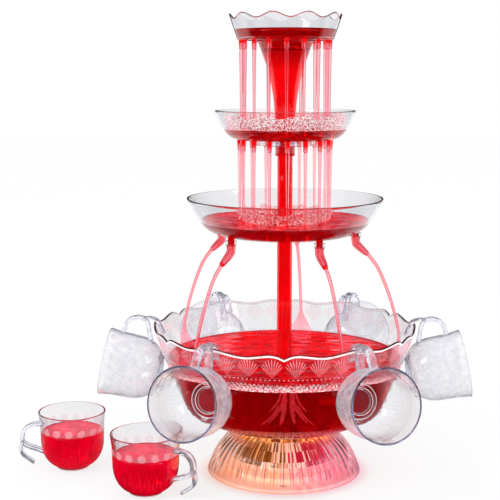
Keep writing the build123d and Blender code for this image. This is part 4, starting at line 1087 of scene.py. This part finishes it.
def soft_box(direction, inner, outer):
    """Brightness 1 within a cone about a direction, falling to 0 at its outer edge, both in degrees."""
    unit = np.array(direction, float) / np.linalg.norm(direction)
    facing = add(tree, "VectorMath", [heading, unit.tolist()], operation="DOT_PRODUCT").outputs["Value"]
    low, high = np.cos(np.radians([outer, inner]))
    return add(tree, "MapRange", [facing, low, high], **soft)


left_box = soft_box((-1.0, -0.5, 0.95), 16, 28)
right_box = soft_box((1.0, -0.5, 0.4), 14, 26)
top_box = soft_box((0.0, 0.1, 1.0), 35, 55)
boxes = add(tree, "Math", [left_box, right_box], operation="ADD")
boxes = add(tree, "Math", [boxes, top_box], operation="ADD")
toward = add(tree, "SeparateXYZ", [heading]).outputs
sideways = add(tree, "Math", [toward["X"]], operation="ABSOLUTE")
depth_way = add(tree, "Math", [toward["Y"]], operation="ABSOLUTE")
outward = add(tree, "Math", [sideways, toward["Z"]], operation="MAXIMUM")
panel = add(tree, "MapRange", [outward, 0.5, 0.9, 0.04, 0.15], **soft)
deep = add(tree, "MapRange", [path["Ray Depth"], 5.0, 9.0, 0.0, 0.85])
caught = add(tree, "MapRange", [path["Glossy Depth"], 1.0, 2.0, 0.1, 1.0])
within = add(tree, "Math", [path["Transmission Depth"], 0.5], operation="GREATER_THAN")
around = add(tree, "MapRange", [depth_way, 0.4, 0.85, 0.9, 0.0])
for share in (within, around):
    caught = add(tree, "Math", [caught, share], operation="MULTIPLY")
deep = add(tree, "Math", [caught, deep], operation="MAXIMUM")
screen = add(tree, "Math", [panel, deep], operation="MAXIMUM")
room = add(tree, "Math", [boxes, 0.6, screen], operation="MULTIPLY_ADD")
backdrop = add(tree, "MapRange", [depth_way, 0.25, 0.75, 0.6, 1.0], **soft)
through = add(tree, "Math", [path["Is Transmission Ray"], backdrop], operation="MULTIPLY")
straight = add(tree, "Math", [path["Is Camera Ray"], through], operation="MAXIMUM")
straight = add(tree, "Math", [straight, path["Glossy Depth"]], operation="SUBTRACT", use_clamp=True)
straight = add(tree, "Math", [straight, path["Diffuse Depth"]], operation="MAXIMUM", use_clamp=True)
level = add(tree, "Mix", {0: straight, 2: room, 3: 1.0}, data_type="FLOAT")
hue = {0: straight, 6: linear("#E2E4FA"), 7: linear("#FFFFFF")}
hue = add(tree, "Mix", hue, data_type="RGBA").outputs[2]
add(tree, "OutputWorld", [add(tree, "Background", {"Color": hue, "Strength": level})])
print("world nodes:", len(tree.nodes))

# %% Table
# White laminate. Seen straight or through the plastic it is white, and mirrored it is dim like the room.
# Near the base it carries a painted glow, amber and pink, for the light that comes through the skirt.
half_table = 9.0
corners = [(x * half_table, y * half_table, 0) for x, y in ((-1, -1), (1, -1), (1, 1), (-1, 1))]
top = bpy.data.meshes.new("table_top")
top.from_pydata(corners, [], [(0, 1, 2, 3)])
table = bpy.data.objects.new("table_top", top)
bpy.context.scene.collection.objects.link(table)
laminate, tree, place = finish("white_table_laminate")
reach = add(tree, "VectorMath", [place], operation="LENGTH").outputs["Value"]
spot = add(tree, "SeparateXYZ", [place]).outputs
share = add(tree, "MapRange", [spot["X"], -0.12, 0.12])
glow = add(tree, "ValToRGB", [share], even_stops(["#FBD9CC", "#FBC4D6"]))
near = add(tree, "MapRange", [reach, 0.095, 0.13, 1.0, 0.0], **soft)
with_painted_glow = add(tree, "Mix", {0: near, 6: linear("#FFFFFF"), 7: glow}, data_type="RGBA").outputs[2]
path = add(tree, "LightPath").outputs
mirrored = [path["Glossy Depth"], path["Diffuse Depth"]]
mirrored = add(tree, "Math", mirrored, operation="SUBTRACT", use_clamp=True)
flag = add(tree, "MapRange", [spot["Y"], 0.4, -0.1, 0.0, 1.0], **soft)
mirrored = add(tree, "Math", [mirrored, flag], operation="MULTIPLY")
seen = add(tree, "Mix", {0: mirrored, 6: with_painted_glow, 7: linear("#303030")}, data_type="RGBA").outputs[2]
shaded = add(tree, "Mix", {0: 0.8, 6: seen, 7: (0, 0, 0, 1)}, data_type="RGBA").outputs[2]
far = add(tree, "MapRange", [reach, 0.15, 2.5, 0.79, 0.8])
dim = add(tree, "Math", [1.0, mirrored], operation="SUBTRACT")
lift = add(tree, "Math", [far, dim], operation="MULTIPLY")
inputs = {"Base Color": shaded, "Roughness": 0.6, "Specular IOR Level": 0.0}
inputs |= {"Emission Color": with_painted_glow, "Emission Strength": lift}
add(tree, "OutputMaterial", [add(tree, "BsdfPrincipled", inputs)])
top.materials.append(laminate)
print("table nodes:", len(tree.nodes))


# %% Lamps
def lamp(name, place, target, size, watts):
    """A square soft lamp aimed at a point."""
    made = bpy.data.lights.new(name, "AREA")
    made.size = size
    made.energy = watts
    obj = bpy.data.objects.new(name, made)
    back = np.array(place, float) - np.array(target, float)
    obj.location = place
    obj.rotation_mode = "QUATERNION"
    obj.rotation_quaternion = Vector(back.tolist()).to_track_quat("Z", "Y")
    obj.visible_glossy = False
    bpy.context.scene.collection.objects.link(obj)
    print(f"{name}: {watts} W")


aim = (0, 0, 0.3)
lamp("key_lamp", (-1.4, -1.2, 1.6), aim, 0.8, 14)
lamp("fill_lamp", (1.5, -0.8, 1.2), aim, 0.8, 8)

# %% [markdown]
# ## Camera
# The view is from the front, a little above the middle tier, with a long lens. The fountain stands
# right of the middle of the picture, so the camera is turned slightly to its left.

# %% Camera
film_mm, focal_px, picture_px = 36, 1155, 500
tilt_down, turn_left = 8.67, 1.736
eye = bpy.data.cameras.new("camera")
eye.lens = film_mm * focal_px / picture_px
eye.clip_start = 0.05
eye.clip_end = 60
camera = bpy.data.objects.new("camera", eye)
camera.location = (0, -1.580, 0.555)
camera.rotation_euler = (np.radians(90 - tilt_down), 0, np.radians(turn_left))
bpy.context.scene.collection.objects.link(camera)
bpy.context.scene.camera = camera
bpy.context.scene.view_settings.view_transform = "Standard"
bpy.context.scene.cycles.max_bounces = 64
bpy.context.scene.cycles.transmission_bounces = 64
bpy.context.scene.cycles.glossy_bounces = 48
bpy.context.scene.cycles.transparent_max_bounces = 48
print("camera lens in mm:", round(eye.lens, 1))
